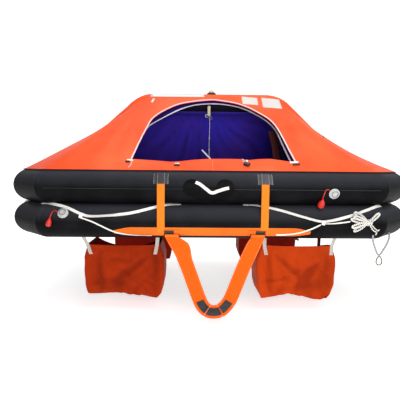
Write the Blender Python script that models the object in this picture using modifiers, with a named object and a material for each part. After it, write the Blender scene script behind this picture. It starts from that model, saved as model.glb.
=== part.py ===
"""Inflatable life raft with a canopy, ballast pockets and a boarding stirrup.

Metres, +Z up. The entrance faces -Y. The origin is at the raft's centre, on the waterline.
"""
import math

import bmesh
import bpy
import numpy as np
from mathutils import Matrix, Vector

PART_NAME = "inflatable_life_raft"
GAP = 0.0003
FORWARD = Vector((0, -1, 0))

# The two buoyancy tubes: mitred eight-sided rings, one on top of the other
TUBE_RADIUS = 0.117
TUBE_SIDES = 24
TUBE_STEP = 2 * math.pi / TUBE_SIDES
TUBE_FLAT = TUBE_RADIUS * math.cos(TUBE_STEP / 2)
RING_HALF_X = 1.29
RING_HALF_Y = 0.825
CORNER_CUT = 0.18
DRAFT = 0.06
LOWER_Z = TUBE_FLAT - DRAFT
UPPER_Z = LOWER_Z + 2 * TUBE_FLAT + GAP

# The floor mattress lies against the lower tube, below its middle
FLOOR_TOP_ANGLE = math.radians(-37.5)
FLOOR_THICK = 0.040
FLOOR_CHAMFER = 0.001

# The arch that carries the canopy, leaning a little to the right
ARCH_RADIUS = 0.082
ARCH_SHIFT = 0.017
ARCH_HALF_FOOT = 1.25
ARCH_FOOT_Z = 0.33
ARCH_HALF_TOP = 0.563
ARCH_Z = 0.955
ARCH_BEND = 0.20
ARCH_TRIM = 0.02
ARCH_STEPS = 5
ARCH_RESOLUTION = 3

# The canopy and its liner are stretched from the arch to the upper tube
CANOPY_THICK = 0.006
CANOPY_SLACK = 0.008
CANOPY_SEAM_ANGLE = math.radians(67.5)
CANOPY_WRAP = [math.radians(a) for a in (0, 20, 40, 58)]
CANOPY_START = 0.13
CANOPY_FIRST_COLUMNS = (0.0, 0.5)
CANOPY_ROWS = 7
CANOPY_MIN_RISE = 0.32
CANOPY_SAGS = (1.0, 0.10, 0.60, 1.0)
LINER_THICK = 0.004
LINER_WRAP = [math.radians(80)]
LINER_SEAM_ANGLE = math.radians(105)
LINER_SIDE_START = 0.095
LINER_ROWS = 6
LINER_SAGS = (1.0, 1.0, 1.0, 1.0)
SIDE_COLUMNS = 6
CORNER_COLUMNS = 3
FRONT_COLUMNS = 14
RELAX_ROUNDS = 400

# The entrance in the front of the canopy, and the slightly smaller one in the liner, as (x, z)
ENTRANCE_OUTLINE = (
    (-0.557, 0.462), (-0.537, 0.591), (-0.496, 0.719), (-0.454, 0.807), (-0.371, 0.880),
    (-0.237, 0.954), (-0.082, 0.991), (0.026, 1.000), (0.178, 0.981), (0.325, 0.912),
    (0.429, 0.846), (0.502, 0.769), (0.528, 0.696), (0.549, 0.583), (0.571, 0.462))
LINER_ENTRANCE_OUTLINE = (
    (-0.547, 0.462), (-0.527, 0.589), (-0.489, 0.706), (-0.456, 0.750), (-0.368, 0.815),
    (-0.246, 0.889), (-0.129, 0.932), (0.002, 0.948), (0.133, 0.943), (0.271, 0.910),
    (0.391, 0.845), (0.479, 0.769), (0.516, 0.702), (0.538, 0.586), (0.558, 0.462))
ENTRANCE_POINT_SPACING = 0.07
ENTRANCE_CUT_Y = -0.55

# Ballast pockets under the four quarters
POCKET_X = 0.627
POCKET_FRONT_Y = 0.71
POCKET_REAR_Y = 0.42
POCKET_THICK = 0.004
POCKET_TOP = -0.135
POCKET_BULGE_Z = -0.24
POCKET_BOTTOM = -0.520
POCKET_HALF_TOP = 0.252
POCKET_HALF_BULGE = 0.283
POCKET_HALF_BOTTOM = 0.262
POCKET_CORNER = 0.03
POCKET_STRAP_WIDTH = 0.026
POCKET_STRAP_THICK = 0.003
POCKET_STRAP_SEWN = 0.070
POCKET_STRAP_TOPS = (0.375, 0.905)
POCKET_STRAP_ENDS = (0.402, 0.862)
POCKET_STRAP_TUBE_ANGLE = math.radians(-67.5)
POCKET_STRAP_OVERLAP = 0.001

# Webbing on the front of the tubes
STRAP_X = 0.343
STRAP_WIDTH = 0.050
STRAP_THICK = 0.003
STRAP_LIFT = 0.0021
STRAP_TOP_ANGLE = math.radians(37.5)
STRAP_END_ANGLE = math.radians(-37.5)
STRAP_PATCH_HALF = 0.052
STRAP_PATCH_ANGLES = (math.radians(7.5), math.radians(52.5))
PATCH_THICK = 0.0015
BAND_HALF = 0.655
BAND_ANGLES = (math.radians(-42), math.radians(-15))

# Boarding stirrup: a webbing loop that hangs from two bars and swings about them
STIRRUP_X = 0.015
STIRRUP_SPACING = 0.286
STIRRUP_BAR_RADIUS = 0.005
STIRRUP_SLEEVE_INNER = 0.0065
STIRRUP_SLEEVE_OUTER = 0.0095
STIRRUP_SLEEVE_HALF = 0.045
STIRRUP_BAR_LIFT = 0.022
STIRRUP_BAR_ANGLE = math.radians(-38)
STIRRUP_WIDTH = 0.095
STIRRUP_THICK = 0.004
STIRRUP_TOP_DROP = 0.0085
STIRRUP_LEFT_LEG = ((-0.225, -0.110), (-0.175, -0.225), (-0.137, -0.330), (-0.104, -0.420),
                    (-0.078, -0.475), (-0.042, -0.510))
STIRRUP_RIGHT_LEG = ((0.050, -0.505), (0.098, -0.450), (0.128, -0.385), (0.160, -0.300),
                     (0.197, -0.205), (0.235, -0.115))
STIRRUP_TREAD_DROP = 0.519
STIRRUP_FOLD_DROP = 0.070
STIRRUP_PAD_THICK = 0.006
STIRRUP_PAD_WIDTH = 0.048
STIRRUP_PAD_LIFT = 0.0008
STIRRUP_PAD_SPANS = {"left": (-0.131, -0.051), "middle": (-0.043, 0.043), "right": (0.051, 0.131)}
STIRRUP_PAD_STEPS = 4
STIRRUP_POINT_SPACING = 0.025
BUCKLE_FACET = math.radians(-30)
BUCKLE_EAR_PLAY = 0.0006
BUCKLE_EAR_THICK = 0.006
BUCKLE_EAR_REACH = 0.011
BUCKLE_PLATE_HALF = 0.060
BUCKLE_PLATE_HEIGHT = 0.030
BUCKLE_PLATE_THICK = 0.004

# Grab handle on the upper tube
HANDLE_X = -0.030
HANDLE_SPACING = 0.108
HANDLE_PATCH_RADIUS = 0.060
HANDLE_WEB_WIDTH = 0.018
HANDLE_WEB_THICK = 0.003
HANDLE_SAG = 0.016
HANDLE_DIP = 0.028

# Valves, their loose caps and the two lamps
VALVE_FLANGE_RADIUS = 0.036
VALVE_FLANGE_THICK = 0.007
VALVE_BODY_RADIUS = 0.024
VALVE_BODY_HEIGHT = 0.012
VALVE_LEFT_X = -0.985
VALVE_LEFT_ANGLE = math.radians(30)
VALVE_RIGHT_X = 0.800
VALVE_RIGHT_ANGLE = math.radians(-15)
CAP_RADIUS = 0.018
CAP_LENGTH = 0.026
LANYARD_RADIUS = 0.003
LANYARD_SPACING = 0.010
CAP_LEFT_X = -1.066
CAP_RIGHT_X = 0.722
CAP_RIGHT_ANGLE = math.radians(-45)
LAMP_X = 0.024
LAMP_BASE_RADIUS = 0.040
LAMP_BASE_HEIGHT = 0.012
LAMP_DOME_RADIUS = 0.026
INNER_LAMP_RADIUS = 0.014
INNER_LAMP_TOP = 0.936
INNER_LAMP_LENGTH = 0.086
INNER_LAMP_Y = -0.104
LAMP_CLIP_SIZE = 0.012

# Ropes
LIFELINE_RADIUS = 0.006
LIFELINE_SPACING = 0.034
SWAG_DROP = 0.085
SIDE_BECKETS = (-0.60, -0.20, 0.20, 0.60)
REAR_BECKETS = (-1.05, -0.525, 0.0, 0.525, 1.05)
PULL_CORD_RADIUS = 0.002
PAINTER_RADIUS = 0.005
PAINTER_HANG_Y = -0.900
HANK_MIDDLE = (0.965, 0.072)
HANK_THICK = 0.036
HANK_EDGE_SHARE = 0.9
HOOK_HALF_HEIGHT = 0.030
HOOK_HALF_WIDTH = 0.019
HOOK_TAPER = 0.25
HOOK_WIRE_RADIUS = 0.0035
HOOK_STEPS = 20
LINE_REST = 0.0008
ROPE_FLAT = math.cos(math.pi / 8)
BAND_LIFT = GAP + PATCH_THICK
HANK_REST = 0.0012

COLOURS = {
    "tube_black": ((0.012, 0.012, 0.014), 0.45, 0.0),
    "canopy_orange": ((0.86, 0.13, 0.045), 0.65, 0.0),
    "liner_blue": ((0.020, 0.012, 0.180), 0.75, 0.0),
    "pocket_orange": ((0.50, 0.050, 0.008), 0.75, 0.0),
    "webbing_orange": ((0.93, 0.25, 0.015), 0.70, 0.0),
    "webbing_white": ((0.70, 0.68, 0.62), 0.75, 0.0),
    "plastic_black": ((0.020, 0.020, 0.022), 0.40, 0.0),
    "valve_white": ((0.80, 0.80, 0.78), 0.35, 0.0),
    "cap_red": ((0.60, 0.015, 0.020), 0.40, 0.0),
    "lamp_yellow": ((0.85, 0.75, 0.35), 0.20, 0.0),
    "steel": ((0.55, 0.55, 0.55), 0.30, 1.0),
    "floor_grey": ((0.030, 0.030, 0.034), 0.60, 0.0),
}


def clear_scene():
    """Remove what the file held before."""
    for old in list(bpy.data.objects):
        bpy.data.objects.remove(old, do_unlink=True)


def material(name):
    """Return the named Principled material."""
    found = bpy.data.materials.get(name)
    if found:
        return found
    colour, roughness, metallic = COLOURS[name]
    made = bpy.data.materials.new(name)
    made.use_nodes = True
    shader = made.node_tree.nodes["Principled BSDF"]
    shader.inputs["Base Color"].default_value = (*colour, 1.0)
    shader.inputs["Roughness"].default_value = roughness
    shader.inputs["Metallic"].default_value = metallic
    made.diffuse_color = (*colour, 1.0)
    return made


def collection(name):
    """Make a collection in the scene."""
    made = bpy.data.collections.new(name)
    bpy.context.scene.collection.children.link(made)
    return made


def add_object(name, mesh, colour, smooth=True):
    """Put a mesh in the parts collection under its own name."""
    made = bpy.data.objects.new(name, mesh)
    PARTS.objects.link(made)
    made.data.materials.append(material(colour))
    if smooth:
        mesh.shade_smooth()
        mesh.set_sharp_from_angle(angle=math.radians(40))
    return made


def as_cutter(made):
    """Move an object to the cutters, out of the build."""
    PARTS.objects.unlink(made)
    CUTTERS.objects.link(made)
    made.hide_render = True
    made.display_type = "WIRE"
    return made


def hang_on(pivot, made):
    """Parent an object to an empty, with its own origin there and its shape left in place."""
    made.data.transform(Matrix.Translation(-pivot.location) @ made.matrix_basis)
    made.matrix_basis = Matrix.Identity(4)
    made.parent = pivot


def cut(target, cutter, operation="DIFFERENCE"):
    """Cut or join one object with another by an exact Boolean."""
    modifier = target.modifiers.new(operation.title(), "BOOLEAN")
    modifier.operation = operation
    modifier.solver = "EXACT"
    modifier.object = as_cutter(cutter)


def loft(name, loops, closed=False, cap_end=True):
    """Skin loops of equal length. A closed loft joins its last loop to its first."""
    mesh = bmesh.new()
    rows = [[mesh.verts.new(point) for point in loop] for loop in loops]
    count = len(rows[0])
    last = len(rows) if closed else len(rows) - 1
    for i in range(last):
        near, far = rows[i], rows[(i + 1) % len(rows)]
        for j in range(count):
            k = (j + 1) % count
            mesh.faces.new((near[j], near[k], far[k], far[j]))
    if not closed:
        mesh.faces.new(reversed(rows[0]))
    if not closed and cap_end:
        mesh.faces.new(rows[-1])
    bmesh.ops.recalc_face_normals(mesh, faces=mesh.faces)
    data = bpy.data.meshes.new(name)
    mesh.to_mesh(data)
    mesh.free()
    return data


def primitive(name, build):
    """Make a mesh from one bmesh primitive."""
    mesh = bmesh.new()
    build(mesh)
    data = bpy.data.meshes.new(name)
    mesh.to_mesh(data)
    mesh.free()
    return data


def box(name, centre, size, colour):
    """A plain box."""
    data = primitive(name, lambda mesh: bmesh.ops.create_cube(mesh, size=1.0))
    data.transform(Matrix.Diagonal((*size, 1.0)))
    made = add_object(name, data, colour, smooth=False)
    made.location = centre
    return made


def turning_to(axis):
    """Rotation that lays the Z axis along the given direction."""
    return Vector((0, 0, 1)).rotation_difference(Vector(axis)).to_matrix().to_4x4()


def cylinder(name, foot, axis, radius, height, colour, sides=24, top_radius=None):
    """A cylinder or cone that stands on its foot along the axis."""
    top = radius if top_radius is None else top_radius
    data = primitive(name, lambda mesh: bmesh.ops.create_cone(
        mesh, cap_ends=True, segments=sides, radius1=radius, radius2=top, depth=height))
    data.transform(turning_to(axis) @ Matrix.Translation((0, 0, height / 2)))
    made = add_object(name, data, colour)
    made.location = foot
    return made


def join(target, pieces):
    """Fuse pieces with a target that they overlap."""
    for piece in pieces:
        cut(target, piece, "UNION")
    return target


def mesh_from_curve(made):
    """Turn a curve object into a mesh object with welded caps, in its place."""
    bpy.context.view_layer.update()
    data = bpy.data.meshes.new_from_object(made.evaluated_get(bpy.context.evaluated_depsgraph_get()))
    mesh = bmesh.new()
    mesh.from_mesh(data)
    bmesh.ops.remove_doubles(mesh, verts=mesh.verts, dist=0.00001)
    bmesh.ops.recalc_face_normals(mesh, faces=mesh.faces)
    mesh.to_mesh(data)
    mesh.free()
    name, place = made.name, made.matrix_world.copy()
    colour = made.data.materials[0].name
    bpy.data.objects.remove(made, do_unlink=True)
    data.materials.clear()
    welded = add_object(name, data, colour)
    welded.matrix_world = place
    return welded


def tube_along(name, points, radius, colour, resolution=2):
    """A round tube along a list of points, as a curve with filled caps."""
    curve = bpy.data.curves.new(name, "CURVE")
    curve.dimensions = "3D"
    curve.bevel_depth = radius
    curve.bevel_resolution = resolution
    curve.use_fill_caps = True
    spline = curve.splines.new("POLY")
    spline.points.add(len(points) - 1)
    for slot, point in zip(spline.points, points):
        slot.co = (*point, 1.0)
    made = bpy.data.objects.new(name, curve)
    PARTS.objects.link(made)
    curve.materials.append(material(colour))
    return made


def smooth_route(points, spacing):
    """Read evenly spaced points from a smooth curve through the given ones."""
    stops = [Vector(p) for p in points]
    padded = [2 * stops[0] - stops[1]] + stops + [2 * stops[-1] - stops[-2]]
    fine = []
    for i in range(1, len(padded) - 2):
        a, b, c, d = padded[i - 1:i + 3]
        for k in range(16):
            t = k / 16
            fine.append(0.5 * (2 * b + (c - a) * t + (2 * a - 5 * b + 4 * c - d) * t * t
                               + (3 * b - a - 3 * c + d) * t ** 3))
    fine.append(stops[-1])
    return resample(fine, spacing)


def resample(points, spacing):
    """Spread points evenly along a polyline, ends kept."""
    run = np.array([tuple(p) for p in points])
    reach = np.concatenate([[0], np.cumsum(np.linalg.norm(np.diff(run, axis=0), axis=1))])
    count = max(2, int(round(reach[-1] / spacing)) + 1)
    marks = np.linspace(0, reach[-1], count)
    return [Vector([float(np.interp(m, reach, run[:, k])) for k in range(3)]) for m in marks]


def rounded_corner(before, corner, after, radius, steps):
    """Points of the arc that rounds one corner of a path."""
    to_before = (before - corner).normalized()
    to_after = (after - corner).normalized()
    half = to_before.angle(to_after) / 2
    centre = corner + (to_before + to_after).normalized() * (radius / math.sin(half))
    start = corner + to_before * (radius / math.tan(half))
    end = corner + to_after * (radius / math.tan(half))
    turn = (start - centre).angle(end - centre)
    axis = (start - centre).cross(end - centre).normalized()
    return [centre + Matrix.Rotation(turn * k / steps, 3, axis) @ (start - centre)
            for k in range(steps + 1)]


def octagon(offset):
    """Corners of the ring's outline, moved outward by an offset, front left corner first."""
    half_x, half_y = RING_HALF_X + offset, RING_HALF_Y + offset
    trim = CORNER_CUT + offset * (2 - math.sqrt(2))
    return [(-half_x + trim, -half_y), (half_x - trim, -half_y), (half_x, -half_y + trim),
            (half_x, half_y - trim), (half_x - trim, half_y), (-half_x + trim, half_y),
            (-half_x, half_y - trim), (-half_x, -half_y + trim)]


def facet_radius(angle):
    """Distance from the tube's axis to its faceted surface at an angle."""
    centre = round(angle / TUBE_STEP) * TUBE_STEP
    return TUBE_FLAT / math.cos(angle - centre)


def tube_surface(x, axis_z, angle, lift):
    """Point over the front tube's surface. Angle 0 faces the front and 90 degrees the sky."""
    radius = facet_radius(angle) + lift
    return Vector((x, -RING_HALF_Y - radius * math.cos(angle), axis_z + radius * math.sin(angle)))


def ring_tube(name, axis_z, radius, colour):
    """A buoyancy tube: a mitred eight-sided ring of round section."""
    loops = []
    for k in range(TUBE_SIDES):
        angle = TUBE_STEP * (k + 0.5)
        outline = octagon(radius * math.cos(angle))
        loops.append([(x, y, axis_z + radius * math.sin(angle)) for x, y in outline])
    return add_object(name, loft(name, loops, closed=True), colour)


def ribbon_mesh(name, points, sides, faces, widths, thick):
    """Skin a strap whose width runs along the side vectors and its thickness along the face ones."""
    loops = []
    for point, side, face, width in zip(points, sides, faces, widths):
        across, out = side * (width / 2), face * (thick / 2)
        loops.append([point - across - out, point + across - out, point + across + out,
                      point - across + out])
    return loft(name, loops)


def tube_ribbon(name, x, stops, width_of, thick, colour):
    """A strap or patch wrapped round the front tubes. Stops are (axis height, angle, lift)."""
    points, faces, widths = [], [], []
    for axis_z, angle, lift in stops:
        points.append(tube_surface(x, axis_z, angle, lift + thick / 2))
        faces.append(Vector((0, -math.cos(angle), math.sin(angle))))
        widths.append(width_of(angle))
    sides = [Vector((1, 0, 0))] * len(points)
    return add_object(name, ribbon_mesh(name, points, sides, faces, widths, thick), colour)


def facet_angles(low, high):
    """Corner angles of the faceted tube between two angles, with both ends."""
    first = math.ceil(low / TUBE_STEP - 0.5 + 1e-6)
    inner = []
    angle = (first + 0.5) * TUBE_STEP
    while angle < high - 1e-6:
        if angle > low + 1e-6:
            inner.append(angle)
        angle += TUBE_STEP
    return [low] + inner + [high]


def make_floor():
    """The floor mattress, an eight-sided plate against the lower tube.

    Its upper edge is chamfered, so that the tube doesn't overhang its top face.
    """
    inset = TUBE_RADIUS * math.cos(FLOOR_TOP_ANGLE) + GAP
    top = LOWER_Z + TUBE_RADIUS * math.sin(FLOOR_TOP_ANGLE)
    loops = []
    for edge, z in ((inset + FLOOR_CHAMFER, top), (inset, top - FLOOR_CHAMFER),
                    (inset, top - FLOOR_THICK)):
        loops.append([(x, y, z) for x, y in octagon(-edge)])
    add_object("floor", loft("floor", loops), "floor_grey", smooth=False)


def arch_line(steps):
    """Centre line of the arch from its left foot to its right foot."""
    corners = [Vector((-ARCH_HALF_FOOT, 0, ARCH_FOOT_Z)),
               Vector((ARCH_SHIFT - ARCH_HALF_TOP, 0, ARCH_Z)),
               Vector((ARCH_SHIFT + ARCH_HALF_TOP, 0, ARCH_Z)),
               Vector((ARCH_HALF_FOOT, 0, ARCH_FOOT_Z))]
    left = rounded_corner(*corners[:3], ARCH_BEND, steps)
    right = rounded_corner(*corners[1:], ARCH_BEND, steps)
    return [corners[0]] + left + right + [corners[-1]]


def make_arch():
    """The arch tube, its feet shaped to the upper tube."""
    arch = mesh_from_curve(tube_along("arch_tube", arch_line(ARCH_STEPS), ARCH_RADIUS, "tube_black",
                                      ARCH_RESOLUTION))
    cutter = ring_tube("arch_foot_cutter", UPPER_Z, TUBE_RADIUS + GAP, "tube_black")
    cut(arch, cutter)


class ArchPath:
    """The arch's centre line, read by distance from the left foot."""

    def __init__(self):
        self.points = resample(arch_line(24), 0.004)
        self.spacing = (self.points[1] - self.points[0]).length
        self.length = self.spacing * (len(self.points) - 1)

    def at(self, distance):
        """Return the point and the outward normal at a distance."""
        place = min(max(distance / self.spacing, 0), len(self.points) - 1.001)
        i = int(place)
        a, b = self.points[i], self.points[i + 1]
        along = (b - a).normalized()
        return a.lerp(b, place - i), Vector((-along.z, 0, along.x))


def arch_marks(path):
    """Distances along the arch for each column of the canopy's grid."""
    leg = SIDE_COLUMNS + CORNER_COLUMNS
    foot = Vector((-ARCH_HALF_FOOT, 0, ARCH_FOOT_Z))
    left_leg = (Vector((ARCH_SHIFT - ARCH_HALF_TOP, 0, ARCH_Z)) - foot).length
    right_leg = (Vector((ARCH_SHIFT + ARCH_HALF_TOP - 2 * ARCH_HALF_FOOT, 0, ARCH_Z)) - foot).length
    left = np.linspace(CANOPY_START, left_leg - ARCH_TRIM, leg + 1)
    right = np.linspace(path.length - right_leg + ARCH_TRIM, path.length - CANOPY_START, leg + 1)
    top = np.linspace(left[-1], right[0], FRONT_COLUMNS + 1)[1:-1]
    return np.concatenate([left, top, right])


def base_points(offset, z, side_start):
    """Points on the ring's front half for each column, from the left side to the right side."""
    corners = octagon(offset)
    half_x, start = RING_HALF_X + offset, -side_start
    stops = [(-half_x, start), corners[7], corners[0], corners[1], corners[2], (half_x, start)]
    counts = [SIDE_COLUMNS, CORNER_COLUMNS, FRONT_COLUMNS, CORNER_COLUMNS, SIDE_COLUMNS]
    points = [Vector((*stops[0], z))]
    for (a, b), count in zip(zip(stops, stops[1:]), counts):
        low, high = Vector((*a, z)), Vector((*b, z))
        points += [low.lerp(high, k / count) for k in range(1, count + 1)]
    return points


def stretched_grid(top, bottom, rows, min_rise, sags):
    """A fabric held along two edges, relaxed until each point lies midway between its neighbours.

    The row next to the lower edge keeps a least slope, so that it clears the tube's crown. A tight
    fabric stays straighter: the sags are the shares of the relaxed shape's sag that it takes at its
    left end, its left and right corners and its right end.
    """
    upper = np.array([tuple(p) for p in top])
    lower = np.array([tuple(p) for p in bottom])
    grid = np.array([upper + (lower - upper) * k / rows for k in range(rows + 1)])
    straight = grid.copy()
    for _ in range(RELAX_ROUNDS):
        grid[1:-1, 1:-1] = (grid[:-2, 1:-1] + grid[2:, 1:-1] + grid[1:-1, :-2] + grid[1:-1, 2:]) / 4
        reach = np.linalg.norm(grid[-2, 1:-1, :2] - grid[-1, 1:-1, :2], axis=1)
        least = grid[-1, 1:-1, 2] + min_rise * reach
        grid[-2, 1:-1, 2] = np.maximum(grid[-2, 1:-1, 2], least)
    last = len(upper) - 1
    stops = (0, SIDE_COLUMNS, last - SIDE_COLUMNS, last)
    share = np.interp(np.arange(last + 1), stops, sags)[None, :, None]
    return straight + (grid - straight) * share


def wrapped_rows(wrap, lift, base, closing):
    """Rows of points that follow the arch's side. Closed ends draw in to the middle plane."""
    path = ArchPath()
    marks = arch_marks(path)
    rows = []
    for angle in wrap:
        row = []
        for column, mark in enumerate(marks):
            inner = min(column, len(marks) - 1 - column)
            share = CANOPY_FIRST_COLUMNS[inner] if closing and inner < len(CANOPY_FIRST_COLUMNS) else 1
            centre, normal = path.at(float(mark))
            turn = angle * share
            row.append(centre + (ARCH_RADIUS + lift) * (math.cos(turn) * normal
                                                        + math.sin(turn) * Vector((0, -1, 0))))
        rows.append(row)
    if closing:
        for column in (0, len(marks) - 1):
            for k in range(1, len(rows)):
                share = k / (len(rows) + CANOPY_ROWS - 1)
                rows[k][column] = rows[0][column].lerp(base[column], share)
    return rows


def half_shell(name, wrapped, base, rows, min_rise, sags, thick, colour, rear=False):
    """One half of the canopy or the liner, from the arch to the upper tube."""
    grid = stretched_grid(wrapped[-1], base, rows, min_rise, sags)
    lines = [np.array([tuple(p) for p in row]) for row in wrapped[:-1]] + list(grid)
    mesh = bmesh.new()
    flip = -1 if rear else 1
    verts = [[mesh.verts.new((x, min(y, -GAP) * flip, z)) for x, y, z in line] for line in lines]
    for upper, lower in zip(verts, verts[1:]):
        for j in range(len(upper) - 1):
            corners = (lower[j], lower[j + 1], upper[j + 1], upper[j])
            mesh.faces.new(reversed(corners) if rear else corners)
    data = bpy.data.meshes.new(name)
    mesh.to_mesh(data)
    mesh.free()
    made = add_object(name, data, colour)
    skin = made.modifiers.new("Thickness", "SOLIDIFY")
    skin.thickness = thick
    skin.offset = 1.0
    return made


def entrance_cutter(name, outline):
    """A long block with the entrance's arched outline, from its left foot to its right foot."""
    curve = bpy.data.curves.new(name, "CURVE")
    curve.dimensions = "2D"
    curve.fill_mode = "BOTH"
    curve.extrude = 0.5
    spline = curve.splines.new("POLY")
    route = smooth_route([(x, z, 0) for x, z in outline], ENTRANCE_POINT_SPACING)
    spline.points.add(len(route) - 1)
    for slot, point in zip(spline.points, route):
        slot.co = (*point, 1)
    spline.use_cyclic_u = True
    made = bpy.data.objects.new(name, curve)
    PARTS.objects.link(made)
    curve.materials.append(material("plastic_black"))
    made.rotation_euler = (math.pi / 2, 0, 0)
    made.location = (0, ENTRANCE_CUT_Y, 0)
    return mesh_from_curve(made)


def make_canopy():
    """The orange canopy and the blue liner, each as a front and a rear half."""
    seam_z = UPPER_Z + TUBE_RADIUS * math.sin(CANOPY_SEAM_ANGLE) + GAP
    seam = base_points(TUBE_RADIUS * math.cos(CANOPY_SEAM_ANGLE), seam_z, 0)
    liner_z = UPPER_Z + TUBE_FLAT * math.sin(LINER_SEAM_ANGLE) + GAP
    liner_seam = base_points(TUBE_FLAT * math.cos(LINER_SEAM_ANGLE), liner_z, LINER_SIDE_START)
    canopy_rows = wrapped_rows(CANOPY_WRAP, CANOPY_SLACK, seam, True)
    liner_rows = wrapped_rows(LINER_WRAP, GAP, liner_seam, False)
    for side, rear in (("front", False), ("rear", True)):
        canopy = half_shell(f"canopy_{side}", canopy_rows, seam, CANOPY_ROWS, CANOPY_MIN_RISE,
                            CANOPY_SAGS, CANOPY_THICK, "canopy_orange", rear)
        liner = half_shell(f"liner_{side}", liner_rows, liner_seam, LINER_ROWS, 0.0,
                           LINER_SAGS, LINER_THICK, "liner_blue", rear)
        if not rear:
            cut(canopy, entrance_cutter("entrance_cutter", ENTRANCE_OUTLINE))
            cut(liner, entrance_cutter("liner_entrance_cutter", LINER_ENTRANCE_OUTLINE))


def rounded_rectangle(half_x, half_y, corner, z):
    """Outline with rounded corners, three points to a corner."""
    points = []
    for quarter in range(4):
        sign_x = 1 if quarter in (0, 3) else -1
        sign_y = 1 if quarter < 2 else -1
        for step in range(3):
            angle = math.pi / 2 * (quarter + step / 2)
            points.append((sign_x * (half_x - corner) + corner * math.cos(angle),
                           sign_y * (half_y - corner) + corner * math.sin(angle), z))
    return points


def floor_underside():
    """Height of the floor's lower face."""
    return LOWER_Z + TUBE_RADIUS * math.sin(FLOOR_TOP_ANGLE) - FLOOR_THICK


def make_pocket(name, side, end):
    """A ballast pocket: an open bag on four straps. Side is -1 or 1 in X, and end in Y."""
    middle_y = (POCKET_FRONT_Y + POCKET_REAR_Y) / 2
    half_y = (POCKET_FRONT_Y - POCKET_REAR_Y) / 2
    loops = [rounded_rectangle(half, half_y, POCKET_CORNER, z) for half, z in (
        (POCKET_HALF_BOTTOM, POCKET_BOTTOM), (POCKET_HALF_BULGE, POCKET_BULGE_Z),
        (POCKET_HALF_TOP, POCKET_TOP))]
    data = loft(name, loops, cap_end=False)
    data.transform(Matrix.Translation((side * POCKET_X, end * middle_y, 0)))
    bag = add_object(name, data, "pocket_orange")
    skin = bag.modifiers.new("Thickness", "SOLIDIFY")
    skin.thickness = POCKET_THICK
    skin.offset = -1.0
    half = POCKET_STRAP_THICK / 2
    tube_y = RING_HALF_Y - TUBE_RADIUS * math.cos(POCKET_STRAP_TUBE_ANGLE) - half
    tube_z = LOWER_Z + TUBE_RADIUS * math.sin(POCKET_STRAP_TUBE_ANGLE) - GAP
    outer_face = POCKET_FRONT_Y + half - POCKET_STRAP_OVERLAP
    inner_face = POCKET_REAR_Y - half + POCKET_STRAP_OVERLAP
    for place, (top_x, low_x) in enumerate(zip(POCKET_STRAP_TOPS, POCKET_STRAP_ENDS)):
        for wall, top_y, face_y, top_z in (("outer", tube_y, outer_face, tube_z),
                                           ("inner", inner_face, inner_face,
                                            floor_underside() - GAP)):
            stops = [(top_x, top_y, top_z), ((top_x + low_x) / 2, face_y, POCKET_TOP - 0.004),
                     (low_x, face_y, POCKET_TOP - POCKET_STRAP_SEWN)]
            points = [Vector((side * x, end * y, z)) for x, y, z in stops]
            count = len(points)
            strap_name = f"{name}_strap_{wall}_{place}"
            strap = ribbon_mesh(strap_name, points, [Vector((1, 0, 0))] * count,
                                [Vector((0, 1, 0))] * count, [POCKET_STRAP_WIDTH] * count,
                                POCKET_STRAP_THICK)
            cut(bag, add_object(strap_name, strap, "webbing_white"), "UNION")


def make_front_webbing():
    """The band, the two upright straps and their patches on the front of the tubes."""
    stops = [(LOWER_Z, a, GAP) for a in reversed(facet_angles(*BAND_ANGLES))]
    tube_ribbon("front_band", 0, stops, lambda angle: 2 * BAND_HALF, PATCH_THICK, "webbing_orange")
    for name, sign in (("left", -1), ("right", 1)):
        upper = [(UPPER_Z, a, STRAP_LIFT) for a in reversed(facet_angles(0, STRAP_TOP_ANGLE))]
        lower = [(LOWER_Z, a, STRAP_LIFT) for a in reversed(facet_angles(STRAP_END_ANGLE, 0))]
        tube_ribbon(f"strap_{name}", sign * STRAP_X, upper + lower, lambda angle: STRAP_WIDTH,
                    STRAP_THICK, "webbing_orange")
        low, high = STRAP_PATCH_ANGLES
        stops = [(UPPER_Z, a, GAP) for a in reversed(facet_angles(low, high))]
        tube_ribbon(f"strap_patch_{name}", sign * STRAP_X, stops,
                    lambda angle: 2 * STRAP_PATCH_HALF, PATCH_THICK, "plastic_black")


def make_handle():
    """The grab handle: a webbing loop between two round patches on the upper tube."""
    for name, sign in (("left", -1), ("right", 1)):
        reach = HANDLE_PATCH_RADIUS / TUBE_RADIUS * 0.98

        def width(angle):
            """Chord of the round patch at an angle."""
            arc = abs(angle) * TUBE_RADIUS
            return 2 * math.sqrt(HANDLE_PATCH_RADIUS ** 2 - arc ** 2)

        stops = [(UPPER_Z, a, GAP) for a in reversed(facet_angles(-reach, reach))]
        tube_ribbon(f"handle_patch_{name}", HANDLE_X + sign * HANDLE_SPACING, stops, width,
                    PATCH_THICK, "tube_black")
    lift = GAP + PATCH_THICK + GAP + HANDLE_WEB_THICK / 2
    front = -RING_HALF_Y - TUBE_FLAT - lift
    half = [(0.0, 1.0, -HANDLE_DIP), (0.060, 0.7, -HANDLE_DIP * 0.43), (0.100, 0.0, 0.006),
            (0.112, 0.0, 0.010)]
    stops = [(-x, share, z) for x, share, z in reversed(half[1:])] + half
    points = [Vector((HANDLE_X + x, front - HANDLE_SAG * share, UPPER_Z + z)) for x, share, z in stops]
    count = len(points)
    mesh = ribbon_mesh("grab_handle", points, [Vector((0, 0, 1))] * count,
                       [Vector((0, -1, 0))] * count, [HANDLE_WEB_WIDTH] * count, HANDLE_WEB_THICK)
    add_object("grab_handle", mesh, "webbing_white")


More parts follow.
